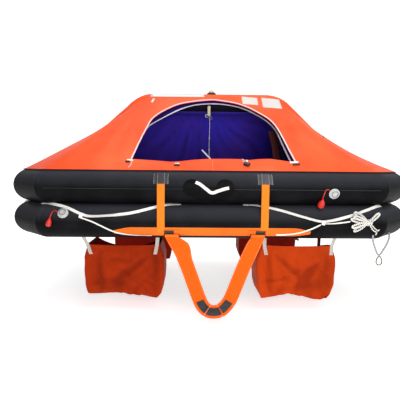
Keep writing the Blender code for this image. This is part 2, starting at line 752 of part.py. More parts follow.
def stirrup_axis():
    """Point of the stirrup's swing axis in the middle of the raft."""
    radius = TUBE_RADIUS + STIRRUP_BAR_LIFT
    return Vector((STIRRUP_X, -RING_HALF_Y - radius * math.cos(STIRRUP_BAR_ANGLE),
                   LOWER_Z + radius * math.sin(STIRRUP_BAR_ANGLE)))


def make_buckle(name, sign):
    """A buckle on the lower tube with the bar that a stirrup leg hangs on."""
    axis = stirrup_axis()
    middle = STIRRUP_X + sign * STIRRUP_SPACING
    outward = Vector((0, -math.cos(STIRRUP_BAR_ANGLE), math.sin(STIRRUP_BAR_ANGLE)))
    normal = Vector((0, -math.cos(BUCKLE_FACET), math.sin(BUCKLE_FACET)))
    lift = STRAP_LIFT + STRAP_THICK + GAP + BUCKLE_PLATE_THICK / 2
    seat = Vector((middle, -RING_HALF_Y, LOWER_Z)) + normal * (TUBE_FLAT + lift)
    plate = box(name, seat, (2 * BUCKLE_PLATE_HALF, BUCKLE_PLATE_THICK, BUCKLE_PLATE_HEIGHT),
                "plastic_black")
    plate.rotation_euler = (-BUCKLE_FACET, 0, 0)
    ear_x = STIRRUP_SLEEVE_HALF + BUCKLE_EAR_PLAY + BUCKLE_EAR_THICK / 2
    reach = STIRRUP_BAR_LIFT - lift + BUCKLE_EAR_REACH / 2
    pieces = []
    for ear_name, shift in (("a", -ear_x), ("b", ear_x)):
        centre = Vector((middle + shift, axis.y, axis.z)) - outward * (reach - BUCKLE_EAR_REACH) / 2
        ear = box(f"{name}_ear_{ear_name}", centre, (BUCKLE_EAR_THICK, reach, BUCKLE_EAR_REACH),
                  "plastic_black")
        ear.rotation_euler = (-STIRRUP_BAR_ANGLE, 0, 0)
        pieces.append(ear)
    bar = cylinder(f"{name}_bar", (middle - ear_x, axis.y, axis.z), (1, 0, 0), STIRRUP_BAR_RADIUS,
                   2 * ear_x, "steel", sides=12)
    join(plate, pieces + [bar])


def stirrup_frames():
    """Centre points, side vectors and widths of the webbing, from the left leg to the right leg.

    The webbing faces forward all the way. Its first and last stretch turn from the bars to the legs.
    """
    axis = stirrup_axis()
    top = -STIRRUP_TOP_DROP
    route = [(-STIRRUP_SPACING, top), *STIRRUP_LEFT_LEG, (0, -STIRRUP_TREAD_DROP),
             *STIRRUP_RIGHT_LEG, (STIRRUP_SPACING, top)]
    points = smooth_route([axis + Vector((x, 0, z)) for x, z in route], STIRRUP_POINT_SPACING)
    sides, widths = [], []
    for k, point in enumerate(points):
        before, after = points[max(k - 1, 0)], points[min(k + 1, len(points) - 1)]
        along = (after - before).normalized()
        along_bar = Vector((1 if k < len(points) / 2 else -1, 0, 0))
        share = min((axis.z - point.z - STIRRUP_TOP_DROP) / STIRRUP_FOLD_DROP, 1)
        sides.append(along_bar.lerp(FORWARD.cross(along), share).normalized())
        widths.append(2 * STIRRUP_SLEEVE_HALF * (1 - share) + STIRRUP_WIDTH * share)
    return points, sides, widths


def make_stirrup():
    """The boarding stirrup: webbing with a sleeve at each end and three step pads."""
    axis = stirrup_axis()
    pivot = bpy.data.objects.new("stirrup_pivot", None)
    pivot.location = axis
    bpy.context.scene.collection.objects.link(pivot)
    points, sides, widths = stirrup_frames()
    web = add_object("stirrup_webbing", ribbon_mesh("stirrup_webbing", points, sides,
                                                    [FORWARD] * len(points), widths, STIRRUP_THICK),
                     "webbing_orange")
    for name, sign in (("left", -1), ("right", 1)):
        start = (STIRRUP_X + sign * STIRRUP_SPACING - STIRRUP_SLEEVE_HALF, axis.y, axis.z)
        sleeve = cylinder(f"stirrup_sleeve_{name}", start, (1, 0, 0), STIRRUP_SLEEVE_OUTER,
                          2 * STIRRUP_SLEEVE_HALF, "webbing_orange", sides=16)
        join(web, [sleeve])
    for name, sign in (("left", -1), ("right", 1)):
        start = (STIRRUP_X + sign * STIRRUP_SPACING - STIRRUP_SLEEVE_HALF - 0.01, axis.y, axis.z)
        bore = cylinder(f"stirrup_bore_{name}", start, (1, 0, 0), STIRRUP_SLEEVE_INNER,
                        2 * STIRRUP_SLEEVE_HALF + 0.02, "webbing_orange", sides=16)
        cut(web, bore)
    hang_on(pivot, web)
    for pad in make_step_pads(points, sides):
        hang_on(pivot, pad)


def make_step_pads(points, sides):
    """Three pads on the front of the stirrup's tread. Their spans run from its middle, in metres."""
    middle = (len(points) - 1) / 2
    spacing = (points[1] - points[0]).length
    lift = FORWARD * (STIRRUP_THICK / 2 + STIRRUP_PAD_LIFT + STIRRUP_PAD_THICK / 2)
    count = STIRRUP_PAD_STEPS + 1
    pads = []
    for name, span in STIRRUP_PAD_SPANS.items():
        pad_points, pad_sides = [], []
        for distance in np.linspace(*span, count):
            place = middle + distance / spacing
            i = int(place)
            pad_points.append(points[i].lerp(points[i + 1], place - i) + lift)
            pad_sides.append(sides[i].lerp(sides[i + 1], place - i).normalized())
        mesh = ribbon_mesh(f"step_pad_{name}", pad_points, pad_sides, [FORWARD] * count,
                           [STIRRUP_PAD_WIDTH] * count, STIRRUP_PAD_THICK)
        pads.append(add_object(f"step_pad_{name}", mesh, "plastic_black"))
    return pads


def make_valve(name, x, axis_z, angle):
    """An inflation valve: a flange with a short body, flat on a facet of the tube."""
    outward = Vector((0, -math.cos(angle), math.sin(angle)))
    foot = Vector((x, -RING_HALF_Y, axis_z)) + outward * (TUBE_FLAT + GAP)
    flange = cylinder(name, foot, outward, VALVE_FLANGE_RADIUS, VALVE_FLANGE_THICK, "valve_white", 32,
                      VALVE_FLANGE_RADIUS * 0.95)
    body = cylinder(f"{name}_body", foot + outward * (VALVE_FLANGE_THICK / 2), outward,
                    VALVE_BODY_RADIUS, VALVE_FLANGE_THICK / 2 + VALVE_BODY_HEIGHT, "valve_white")
    join(flange, [body])


def rest_offset(z, axis_z, radius, lift=0.0):
    """Distance from the ring's centre line at which a rope at a height rests on a tube."""
    distance = TUBE_RADIUS + radius + LINE_REST + lift
    return math.sqrt(max(distance ** 2 - (z - axis_z) ** 2, 0))


def front_rope(route, axis_z, radius, spacing, lift=0.0):
    """Route of a rope over the front of a tube, from smoothed (x, z) points."""
    flat = smooth_route([(x, 0, z) for x, z in route], spacing)
    return [Vector((p.x, -RING_HALF_Y - rest_offset(p.z, axis_z, radius, lift), p.z)) for p in flat]


def make_cap(name, x, axis_z, angle, route):
    """A valve cap that lies on the tube at an angle, with its lanyard fused to it."""
    outward = Vector((0, -math.cos(angle), math.sin(angle)))
    cap = cylinder(name, tube_surface(x, axis_z, angle, GAP), outward, CAP_RADIUS, CAP_LENGTH,
                   "cap_red", 20, CAP_RADIUS * 0.8)
    points = front_rope(route, axis_z, LANYARD_RADIUS, LANYARD_SPACING)
    cord = mesh_from_curve(tube_along(f"{name}_lanyard", points, LANYARD_RADIUS, "cap_red"))
    join(cap, [cord])


def make_valves():
    """Both valves with their caps hanging by them."""
    make_valve("valve_left", VALVE_LEFT_X, LOWER_Z, VALVE_LEFT_ANGLE)
    make_valve("valve_right", VALVE_RIGHT_X, UPPER_Z, VALVE_RIGHT_ANGLE)
    left_route = [(-1.024, 0.118), (-1.046, 0.138), (-1.062, 0.118), (CAP_LEFT_X, 0.064)]
    make_cap("cap_left", CAP_LEFT_X, LOWER_Z, 0, left_route)
    right_route = [(0.761, 0.272), (0.744, 0.275), (0.727, 0.245), (CAP_RIGHT_X, 0.206)]
    make_cap("cap_right", CAP_RIGHT_X, UPPER_Z, CAP_RIGHT_ANGLE, right_route)


def make_lamps():
    """The lamp on the ridge, and the one that hangs inside with its pull cord."""
    ridge = ARCH_Z + ARCH_RADIUS + CANOPY_SLACK + CANOPY_THICK + 3 * GAP
    cylinder("lamp_base", (LAMP_X, 0, ridge), (0, 0, 1), LAMP_BASE_RADIUS, LAMP_BASE_HEIGHT,
             "plastic_black", 24, LAMP_BASE_RADIUS * 0.85)
    foot = Vector((LAMP_X, 0, ridge + LAMP_BASE_HEIGHT + GAP))
    dome_mesh = primitive("ridge_lamp", lambda mesh: bmesh.ops.create_uvsphere(
        mesh, u_segments=20, v_segments=12, radius=LAMP_DOME_RADIUS))
    dome = add_object("ridge_lamp", dome_mesh, "lamp_yellow")
    dome.location = foot
    side = 4 * LAMP_DOME_RADIUS
    below = box("dome_cutter", foot - Vector((0, 0, side / 2)), (side, side, side), "plastic_black")
    cut(dome, below)
    top = Vector((0, INNER_LAMP_Y, INNER_LAMP_TOP))
    lamp = cylinder("cabin_lamp", top - Vector((0, 0, INNER_LAMP_LENGTH)), (0, 0, 1),
                    INNER_LAMP_RADIUS, INNER_LAMP_LENGTH, "lamp_yellow", 20)
    front = INNER_LAMP_Y + INNER_LAMP_RADIUS / 2
    clip = box("cabin_lamp_clip", (0, front / 2, INNER_LAMP_TOP - LAMP_CLIP_SIZE),
               (LAMP_CLIP_SIZE, -front, LAMP_CLIP_SIZE), "plastic_black")
    join(lamp, [clip])
    cut(lamp, mesh_from_curve(tube_along("clip_cutter", arch_line(ARCH_STEPS), ARCH_RADIUS + GAP,
                                         "tube_black", ARCH_RESOLUTION)))
    pull = [(0, INNER_LAMP_Y, INNER_LAMP_TOP - INNER_LAMP_LENGTH - GAP), (0.006, INNER_LAMP_Y, 0.80),
            (0.004, INNER_LAMP_Y + 0.002, 0.70), (0.003, INNER_LAMP_Y, 0.58)]
    tube_along("lamp_pull_cord", smooth_route(pull, 0.012), PULL_CORD_RADIUS, "webbing_white")


def swags(beckets, top, drop):
    """(along, height) points of a rope that hangs in swags between its beckets."""
    route = []
    for a, b in zip(beckets, beckets[1:]):
        for share in (0, 0.25, 0.5, 0.75):
            route.append((a + (b - a) * share, top - drop * 4 * share * (1 - share)))
    return route + [(beckets[-1], top)]


def make_lifelines():
    """The lifelines becketed round the tubes, each held at both ends."""
    groove = LOWER_Z + TUBE_FLAT
    left = [(-0.215, groove), (-0.367, 0.158), (-0.520, 0.124), (-0.673, 0.104), (-0.803, 0.098),
            (-0.868, 0.112), (-0.958, 0.148), (-1.040, 0.166), (-1.080, groove)]
    right = [(0.209, groove), (0.321, 0.166), (0.450, 0.142), (0.590, 0.104), (0.715, 0.074),
             (0.800, 0.082), (0.873, 0.098), (0.972, 0.128), (1.050, 0.158), (1.080, groove)]
    left_low = [(-0.878, 0.092), (-0.800, 0.066), (-0.739, 0.037), (-0.642, -0.010),
                (-0.544, -0.030), (-0.440, -0.034), (-0.405, -0.032)]
    right_low = [(0.715, 0.052), (0.643, 0.016), (0.560, -0.012), (0.470, -0.022),
                 (0.425, -0.022)]
    for name, route, lift in (("lifeline_front_left", left, 0.0), ("lifeline_front_right", right, 0.0),
                              ("line_low_left", left_low, BAND_LIFT),
                              ("line_low_right", right_low, BAND_LIFT)):
        points = front_rope(route, LOWER_Z, LIFELINE_RADIUS, LIFELINE_SPACING, lift)
        tube_along(name, points, LIFELINE_RADIUS, "webbing_white")
    for name, sign in (("lifeline_side_left", -1), ("lifeline_side_right", 1)):
        flat = smooth_route([(a, 0, z) for a, z in swags(SIDE_BECKETS, groove, SWAG_DROP)],
                            LIFELINE_SPACING)
        points = [Vector((sign * (RING_HALF_X + rest_offset(p.z, LOWER_Z, LIFELINE_RADIUS)),
                          p.x, p.z)) for p in flat]
        tube_along(name, points, LIFELINE_RADIUS, "webbing_white")
    flat = smooth_route([(a, 0, z) for a, z in swags(REAR_BECKETS, groove, SWAG_DROP)],
                        LIFELINE_SPACING)
    points = [Vector((p.x, RING_HALF_Y + rest_offset(p.z, LOWER_Z, LIFELINE_RADIUS), p.z))
              for p in flat]
    tube_along("lifeline_rear", points, LIFELINE_RADIUS, "webbing_white")


def make_painter():
    """The tied hank of painter line, the hanging cord and its snap hook."""
    front = -RING_HALF_Y - TUBE_FLAT - HANK_REST
    outline = [(1.050, 0.070), (1.000, 0.112), (0.955, 0.140), (0.922, 0.140), (0.912, 0.105),
               (0.900, 0.070), (0.906, 0.028), (0.925, 0.006), (0.955, 0.004), (1.000, 0.032)]
    loops = []
    middle_x, middle_z = HANK_MIDDLE
    for depth, share in ((0, HANK_EDGE_SHARE), (0.25, 1), (0.75, 1), (1, HANK_EDGE_SHARE)):
        loops.append([(middle_x + (x - middle_x) * share, front - HANK_THICK * depth,
                       middle_z + (z - middle_z) * share) for x, z in outline])
    add_object("painter_hank", loft("painter_hank", loops), "webbing_white")
    y = PAINTER_HANG_Y
    seat = -RING_HALF_Y - rest_offset(-0.022, LOWER_Z, PAINTER_RADIUS * ROPE_FLAT, -LINE_REST)
    hang = [(1.080, seat, -0.022), (1.090, y - 0.004, -0.065),
            (1.104, y, -0.102), (1.124, y, -0.152), (1.134, y, -0.1605), (1.146, y, -0.150),
            (1.176, y, -0.090), (1.194, y, -0.040), (1.200, y + 0.022, -0.012)]
    cord = smooth_route(hang, 0.020)
    tube_along("painter_cord", cord, PAINTER_RADIUS, "webbing_white")
    lowest = min(cord, key=lambda p: p.z)
    drop = (PAINTER_RADIUS + HOOK_WIRE_RADIUS) * ROPE_FLAT + GAP
    make_snap_hook(lowest - Vector((0, 0, drop)))


def make_snap_hook(top):
    """A pear-shaped steel ring, its top right under the hanging cord."""
    middle = top - Vector((0, 0, HOOK_HALF_HEIGHT))
    ring = []
    for k in range(HOOK_STEPS):
        angle = 2 * math.pi * k / HOOK_STEPS
        width = HOOK_HALF_WIDTH * (1 - HOOK_TAPER * math.cos(angle))
        ring.append(middle + Vector((width * math.sin(angle), 0, HOOK_HALF_HEIGHT * math.cos(angle))))
    hook = tube_along("snap_hook", ring, HOOK_WIRE_RADIUS, "steel")
    hook.data.splines[0].use_cyclic_u = True


clear_scene()
PARTS = collection(PART_NAME)
CUTTERS = collection("cutters")
ring_tube("lower_tube", LOWER_Z, TUBE_RADIUS, "tube_black")
ring_tube("upper_tube", UPPER_Z, TUBE_RADIUS, "tube_black")
make_floor()
make_arch()
make_canopy()
for end_name, end_sign in (("front", -1), ("rear", 1)):
    make_pocket(f"pocket_{end_name}_left", -1, end_sign)
    make_pocket(f"pocket_{end_name}_right", 1, end_sign)
make_front_webbing()
make_handle()
make_buckle("buckle_left", -1)
make_buckle("buckle_right", 1)
make_stirrup()
make_valves()
make_lamps()
make_lifelines()
make_painter()
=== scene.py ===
"""Dressed model of an inflatable life raft: coated skins, stretched cloth, webbing, ropes and fittings.

Everything is in metres in the frame's own axes: +Z up, the entrance faces -Y, and z = 0 is the waterline.
"""

import logging
from dataclasses import dataclass
from enum import Enum
from math import asin, copysign, cos, exp, pi, radians, sin, sqrt, tan

import bmesh
import bpy
import numpy as np
from bpy.types import Material, Mesh, Node, NodeSocket, NodeTree, Object
from mathutils import Matrix, Vector, noise
from mathutils.bvhtree import BVHTree

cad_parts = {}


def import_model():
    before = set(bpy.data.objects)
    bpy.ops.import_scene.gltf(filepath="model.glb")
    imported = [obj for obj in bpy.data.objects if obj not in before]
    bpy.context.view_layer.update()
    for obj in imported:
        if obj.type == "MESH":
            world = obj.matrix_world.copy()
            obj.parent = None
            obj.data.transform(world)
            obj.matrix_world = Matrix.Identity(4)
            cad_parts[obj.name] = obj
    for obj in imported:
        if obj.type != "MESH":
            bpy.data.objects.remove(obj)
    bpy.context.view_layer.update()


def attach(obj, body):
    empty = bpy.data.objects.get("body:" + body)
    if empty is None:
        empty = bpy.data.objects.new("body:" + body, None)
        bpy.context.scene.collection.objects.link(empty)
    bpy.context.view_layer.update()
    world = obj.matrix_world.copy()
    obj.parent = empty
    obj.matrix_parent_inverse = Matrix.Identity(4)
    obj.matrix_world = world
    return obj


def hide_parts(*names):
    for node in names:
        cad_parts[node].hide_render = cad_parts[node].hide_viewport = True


LOG = logging.getLogger("life_raft")
MM = 0.001
IMAGE_SIZE = 400

# Driving sizes, the same as in the part's source
GAP = 0.3 * MM
TUBE_RADIUS = 0.117
TUBE_FLAT = TUBE_RADIUS * cos(pi / 24)
RING_HALF_X = 1.29
RING_HALF_Y = 0.825
CORNER_CUT = 0.18
LOWER_Z = TUBE_FLAT - 0.06
UPPER_Z = LOWER_Z + 2 * TUBE_FLAT + GAP
GROOVE_Z = LOWER_Z + TUBE_FLAT
FORWARD = Vector((0, -1, 0))
ACROSS = Vector((1, 0, 0))
UP = Vector((0, 0, 1))
SIDES = (("left", -1), ("right", 1))
# The bars that the stirrup hangs on: their place round the lower tube, and their reach from its axis
BAR_ANGLE = radians(-38)
BAR_LIFT = 22 * MM
BAR_REACH = TUBE_RADIUS + BAR_LIFT
STIRRUP_AXIS = Vector((0.015, -RING_HALF_Y - BAR_REACH * cos(BAR_ANGLE),
                       LOWER_Z + BAR_REACH * sin(BAR_ANGLE)))

# Shares of the relaxed cloth's sag at its left end, left corner, right corner and right end
CANOPY_SAGS = (1.0, 0.10, 0.60, 1.0)
LINER_SAGS = (1.0, 1.0, 1.0, 1.0)

# (x, z) points round the entrances, from the left foot to the right foot
CANOPY_ENTRANCE = (
    (-0.557, 0.462), (-0.523, 0.595), (-0.485, 0.712), (-0.455, 0.790), (-0.385, 0.858), (-0.265, 0.928),
    (-0.131, 0.962), (0.024, 0.981), (0.122, 0.970), (0.216, 0.951), (0.308, 0.914), (0.398, 0.857),
    (0.472, 0.796), (0.512, 0.728), (0.536, 0.636), (0.551, 0.555), (0.571, 0.462))
LINER_ENTRANCE = (
    (-0.577, 0.462), (-0.545, 0.589), (-0.500, 0.706), (-0.462, 0.753), (-0.368, 0.815), (-0.246, 0.889),
    (-0.129, 0.932), (0.002, 0.948), (0.133, 0.943), (0.271, 0.910), (0.391, 0.845), (0.479, 0.769),
    (0.516, 0.702), (0.538, 0.586), (0.558, 0.462))
# Places along the sill, and the height of its wavy edge at each
SILL_WAVE = (
    (-0.543, -0.407, -0.286, -0.214, -0.133, -0.020, 0.125, 0.198, 0.255, 0.320, 0.401, 0.467, 0.524),
    (0.469, 0.462, 0.453, 0.458, 0.468, 0.476, 0.477, 0.476, 0.470, 0.477, 0.480, 0.472, 0.463))

# For the left (-1) and right (1) pockets: shares across the outer wall, and its lower edge's height at each
POCKET_LOW_EDGES = {
    -1: ((-1.0, -0.94, -0.50, -0.07, 0.31, 0.64, 0.88, 1.0),
         (-0.490, -0.498, -0.488, -0.494, -0.512, -0.506, -0.531, -0.495)),
    1: ((-1.0, -0.96, -0.76, -0.18, 0.04, 0.28, 0.53, 0.85, 1.0),
        (-0.505, -0.529, -0.522, -0.494, -0.514, -0.511, -0.542, -0.535, -0.480))}
# The places of each strap in X, at the tube and on the cloth
POCKET_STRAPS = {-1: ((0.375, 0.402), (0.905, 0.862)), 1: ((0.375, 0.402), (0.881, 0.877))}
# The outer wall's sharp folds: shares across and down at one end and at the other, and depth
POCKET_CREASES = {
    -1: ((0.57, 0.22, -0.40, 0.86, 1.0), (0.78, 0.06, 0.82, 0.96, 0.8), (-0.62, 0.08, -0.58, 0.95, 0.7),
         (-0.35, 0.25, 0.25, 0.32, 0.5), (-0.30, 0.72, 0.45, 0.95, 0.6), (-0.85, 0.80, -0.20, 0.66, 0.5)),
    1: ((-0.72, 0.08, -0.69, 0.95, 0.8), (0.76, 0.08, 0.78, 0.92, 0.7), (-0.55, 0.16, 0.35, 0.80, 0.8),
        (0.62, 0.28, -0.05, 0.93, 0.9), (-0.20, 0.52, 0.50, 0.50, 0.5), (0.15, 0.80, 0.95, 0.70, 0.6),
        (-0.90, 0.72, -0.15, 0.62, 0.5))}


class Body(Enum):
    """Rigid bodies of the frame."""

    RAFT = "raft"
    STIRRUP = "stirrup"


class Slot(Enum):
    """Material slots of the record."""

    TUBE = "tube_black"
    CANOPY = "canopy_orange"
    LINER = "liner_blue"
    POCKET = "pocket_orange"
    WEBBING = "webbing_orange"
    WHITE = "webbing_white"
    BLACK_PLASTIC = "plastic_black"
    VALVE = "valve_white"
    CAP = "cap_red"
    LAMP = "lamp_yellow"
    STEEL = "steel"
    FLOOR = "floor_grey"


def linear(code: str) -> tuple[float, float, float, float]:
    """Turn an sRGB hex colour into linear RGBA.

    Args:
        code: six hex digits with a leading hash.

    Returns:
        The linear colour with alpha 1.
    """
    values = [int(code[i:i + 2], 16) / 255 for i in (1, 3, 5)]
    parts = [v / 12.92 if v <= 0.04045 else ((v + 0.055) / 1.055) ** 2.4 for v in values]
    return (*parts, 1.0)


def feed(tree: NodeTree, node: Node, inputs: dict) -> None:
    """Set a node's inputs, each to a value or to the socket that feeds it."""
    for key, value in inputs.items():
        if isinstance(value, NodeSocket):
            tree.links.new(value, node.inputs[key])
        else:
            node.inputs[key].default_value = value


def add_node(tree: NodeTree, kind: str, inputs: dict | None = None, **settings) -> Node:
    """Add a node with its settings, input values and links.

    Args:
        tree: shader or geometry tree.
        kind: node type name.
        inputs: socket name or index to a value, or to the socket that feeds it.
        settings: attributes of the node.

    Returns:
        The new node.
    """
    node = tree.nodes.new(kind)
    for key, value in settings.items():
        setattr(node, key, value)
    feed(tree, node, inputs or {})
    return node


def ranged(tree: NodeTree, value: NodeSocket, low: float, high: float, start: float = 0.0,
           end: float = 1.0) -> NodeSocket:
    """Map a value from low and high to start and end, and stop it there."""
    return add_node(tree, "ShaderNodeMapRange", {0: value, 1: low, 2: high, 3: start, 4: end}).outputs[0]


def worked(tree: NodeTree, operation: str, *values: NodeSocket | float, **settings) -> NodeSocket:
    """Work out one step of arithmetic."""
    node = add_node(tree, "ShaderNodeMath", dict(enumerate(values)), operation=operation, **settings)
    return node.outputs[0]


def cloudy(tree: NodeTree, place: NodeSocket, scale: float, detail: float, **more: float) -> NodeSocket:
    """Noise over a place, from 0 to 1."""
    return add_node(tree, "ShaderNodeTexNoise", {"Vector": place, "Scale": scale, "Detail": detail,
                                                 **more}).outputs["Fac"]


def mixed(tree: NodeTree, factor: NodeSocket, one: NodeSocket | tuple, other: tuple) -> NodeSocket:
    """Mix two colours by a factor."""
    return add_node(tree, "ShaderNodeMix", {0: factor, 6: one, 7: other}, data_type="RGBA").outputs[2]


@dataclass(frozen=True)
class Finish:
    """What a surface is made of. Subclasses draw its pattern."""

    name: str
    slot: Slot
    colour: str
    shade: str
    roughness: float

    def material(self) -> Material:
        """Return the Blender material, made on its first use."""
        found = bpy.data.materials.get(self.name)
        if found:
            return found
        made = bpy.data.materials.new(self.name)
        made.use_nodes = True
        tree = made.node_tree
        shader = tree.nodes["Principled BSDF"]
        feed(tree, shader, {"Base Color": linear(self.colour), "Roughness": self.roughness})
        self.draw(tree, shader)
        return made

    def draw(self, tree: NodeTree, shader: Node) -> None:
        """Add the finish's own nodes."""

    def tint(self, tree: NodeTree, shader: Node, factor: NodeSocket) -> NodeSocket:
        """Mix the shade into the colour by a factor, and return the mixed colour."""
        tone = mixed(tree, factor, linear(self.colour), linear(self.shade))
        feed(tree, shader, {"Base Color": tone})
        return tone

    def bump(self, tree: NodeTree, shader: Node, *layers: tuple) -> None:
        """Raise layers of relief, broad ones first. Each is (height socket, strength, depth)."""
        normal = {}
        for height, strength, depth in layers:
            if depth:
                layer = add_node(tree, "ShaderNodeBump", {"Height": height, "Strength": strength,
                                                          "Distance": depth, **normal})
                normal = {"Normal": layer.outputs[0]}
        feed(tree, shader, normal)


@dataclass(frozen=True)
class CoatedCloth(Finish):
    """Polyurethane-coated nylon cloth: a matt weave with soft creases, and painted shade along its folds."""

    crease: float = 3.0 * MM
    thread: float = 3.2 * MM
    # The colour of the painted shade in the cloth's folds
    fold: str = "#000000"
    specular: float = 0.15

    def draw(self, tree: NodeTree, shader: Node) -> None:
        """Weave from the cloth's own UV, creases and fading from Object coordinates, painted shade in the
        folds by attribute.

        The real thread is 0.5 mm. It is drawn six times as coarse, so that it shows.
        """
        place = add_node(tree, "ShaderNodeTexCoord").outputs
        fade = cloudy(tree, place["Object"], 2.2, 5.0, Roughness=0.55)
        tone = self.tint(tree, shader, ranged(tree, fade, 0.40, 0.78))
        # Painted shade: the fold attribute mixes the fold colour into the cloth's colour
        folds = add_node(tree, "ShaderNodeAttribute", attribute_name="fold").outputs["Fac"]
        warp, weft = [add_node(tree, "ShaderNodeTexWave", {"Vector": place["UV"],
                                                           "Scale": 1 / (self.thread * pi)},
                               bands_direction=way).outputs["Fac"] for way in "XY"]
        crease = cloudy(tree, place["Object"], 7.0, 6.0, Roughness=0.62, Distortion=0.9)
        self.bump(tree, shader, (crease, 0.55, self.crease),
                  (worked(tree, "MULTIPLY", warp, weft), 0.25, 0.25 * MM))
        feed(tree, shader, {"Base Color": mixed(tree, folds, tone, linear(self.fold)),
                            "Sheen Weight": 0.03, "Specular IOR Level": self.specular})


@dataclass(frozen=True)
class Grained(Finish):
    """A plain solid or skin with rubbed marks, a fine grain and, on a soft one, a slow swell."""

    marks: float = 45.0
    grain: float = 900.0
    depth: float = 0.12 * MM
    swell: float = 0.0
    coat: float = 0.0
    metallic: float = 0.0
    specular: float = 0.5

    def draw(self, tree: NodeTree, shader: Node) -> None:
        """Marks that change the colour and the gloss, and a grain that shows as a bump."""
        place = add_node(tree, "ShaderNodeTexCoord").outputs["Object"]
        rub, pits, slow = [cloudy(tree, place, scale, detail)
                           for scale, detail in ((self.marks, 7.0), (self.grain, 1.0), (9.0, 3.0))]
        self.tint(tree, shader, self.tint_mask(tree, place, ranged(tree, rub, 0.42, 0.76)))
        gloss = ranged(tree, rub, 0.3, 0.75, self.roughness - 0.04, self.roughness + 0.10)
        self.bump(tree, shader, (slow, 0.35, self.swell), (pits, 0.25, self.depth))
        feed(tree, shader, {"Roughness": gloss, "Coat Weight": self.coat, "Metallic": self.metallic,
                            "Specular IOR Level": self.specular})

    def tint_mask(self, tree: NodeTree, place: NodeSocket, marks: NodeSocket) -> NodeSocket:
        """Where the shade shows."""
        return marks


@dataclass(frozen=True)
class TubeSkin(Grained):
    """Synthetic rubber on nylon, calendered: near black, satin, with a cloth grain, and pale dust and painted
    top light on each tube's upper half.
    """

    marks: float = 5.5
    grain: float = 420.0
    depth: float = 0.4 * MM
    swell: float = 2.5 * MM
    specular: float = 0.05

    def tint_mask(self, tree: NodeTree, place: NodeSocket, marks: NodeSocket) -> NodeSocket:
        """Rubbed marks everywhere, and pale dust with painted top light on each tube's upper half, by height
        over its axis.
        """
        height = add_node(tree, "ShaderNodeSeparateXYZ", {0: place}).outputs[2]
        over = worked(tree, "WRAP", worked(tree, "SUBTRACT", height, LOWER_Z), TUBE_FLAT, -TUBE_FLAT)
        # Pale dust and painted top light: the upper half is tinted toward the pale shade colour, the lower
        # half stays near black
        dust_and_top_light = ranged(tree, over, 0.0, 0.09, 0.02, 0.85)
        return worked(tree, "MULTIPLY_ADD", marks, 0.16, dust_and_top_light, use_clamp=True)


@dataclass(frozen=True)
class Webbing(Finish):
    """Woven polyester webbing: ribs across its length and a tight selvedge. U runs across, V along."""

    rib: float = 3.0 * MM

    def draw(self, tree: NodeTree, shader: Node) -> None:
        """Ribs from the strap's UV, in a zigzag. Real ribs are 1.5 mm apart and are drawn twice as coarse."""
        place = add_node(tree, "ShaderNodeTexCoord").outputs
        across, along, _ = add_node(tree, "ShaderNodeSeparateXYZ", {0: place["UV"]}).outputs
        path = worked(tree, "ADD", along, worked(tree, "PINGPONG", across, 4 * self.rib))
        wave = worked(tree, "SINE", worked(tree, "MULTIPLY", path, 2 * pi / self.rib))
        wear = cloudy(tree, place["Object"], 30.0, 4.0)
        self.tint(tree, shader, worked(tree, "MULTIPLY", ranged(tree, wave, -1.0, 1.0, 0.75, 0.0), wear))
        self.bump(tree, shader, (wave, 0.5, 0.4 * MM))
        feed(tree, shader, {"Sheen Weight": 0.04, "Specular IOR Level": 0.12})


@dataclass(frozen=True)
class LaidRope(Finish):
    """Three-strand polyester rope: grooves that wind round it. U runs round it, V along."""

    lay: float = 16 * MM
    girth: float = 38 * MM

    def draw(self, tree: NodeTree, shader: Node) -> None:
        """Strand grooves from the rope's UV, tinted grey in them."""
        place = add_node(tree, "ShaderNodeTexCoord").outputs["UV"]
        turns = add_node(tree, "ShaderNodeVectorMath",
                         {0: place, 1: (6 * pi / self.girth, 2 * pi / self.lay, 0)},
                         operation="DOT_PRODUCT")
        wave = worked(tree, "SINE", turns.outputs["Value"])
        self.tint(tree, shader, ranged(tree, wave, -1.0, 0.1, 1.0, 0.0))
        self.bump(tree, shader, (wave, 0.8, 1.2 * MM))


@dataclass(frozen=True)
class Moulding(Grained):
    """Injection-moulded plastic or rubber: a fine spark-eroded grain with slightly rubbed gloss."""


@dataclass(frozen=True)
class Wire(Grained):
    """Drawn and tumbled stainless steel wire: a soft metal with fine scratches."""

    marks: float = 220.0
    metallic: float = 1.0


@dataclass(frozen=True)
class Reflective(Finish):
    """Retro-reflective tape: a silvery film over a honeycomb of cells."""

    cell: float = 4 * MM

    def draw(self, tree: NodeTree, shader: Node) -> None:
        """Cells from a Voronoi pattern. Real cells are 3 to 4 mm across."""
        place = add_node(tree, "ShaderNodeTexCoord")
        cells = add_node(tree, "ShaderNodeTexVoronoi", {"Vector": place.outputs["Object"],
                                                        "Scale": 1 / self.cell, "Randomness": 0.25},
                         feature="DISTANCE_TO_EDGE")
        self.tint(tree, shader, ranged(tree, cells.outputs["Distance"], 0.02, 0.10, 1.0, 0.0))
        feed(tree, shader, {"Coat Weight": 0.5, "Coat Roughness": 0.15})


@dataclass(frozen=True)
class Lens(Finish):
    """Clear tinted polycarbonate lens over a pale lamp body."""

    def draw(self, tree: NodeTree, shader: Node) -> None:
        """Soft mottling under a clear gloss."""
        place = add_node(tree, "ShaderNodeTexCoord").outputs["Object"]
        self.tint(tree, shader, cloudy(tree, place, 60.0, 2.0))
        feed(tree, shader, {"Subsurface Weight": 0.3, "Subsurface Scale": 5 * MM, "Coat Weight": 0.8,
                            "Coat Roughness": 0.05})
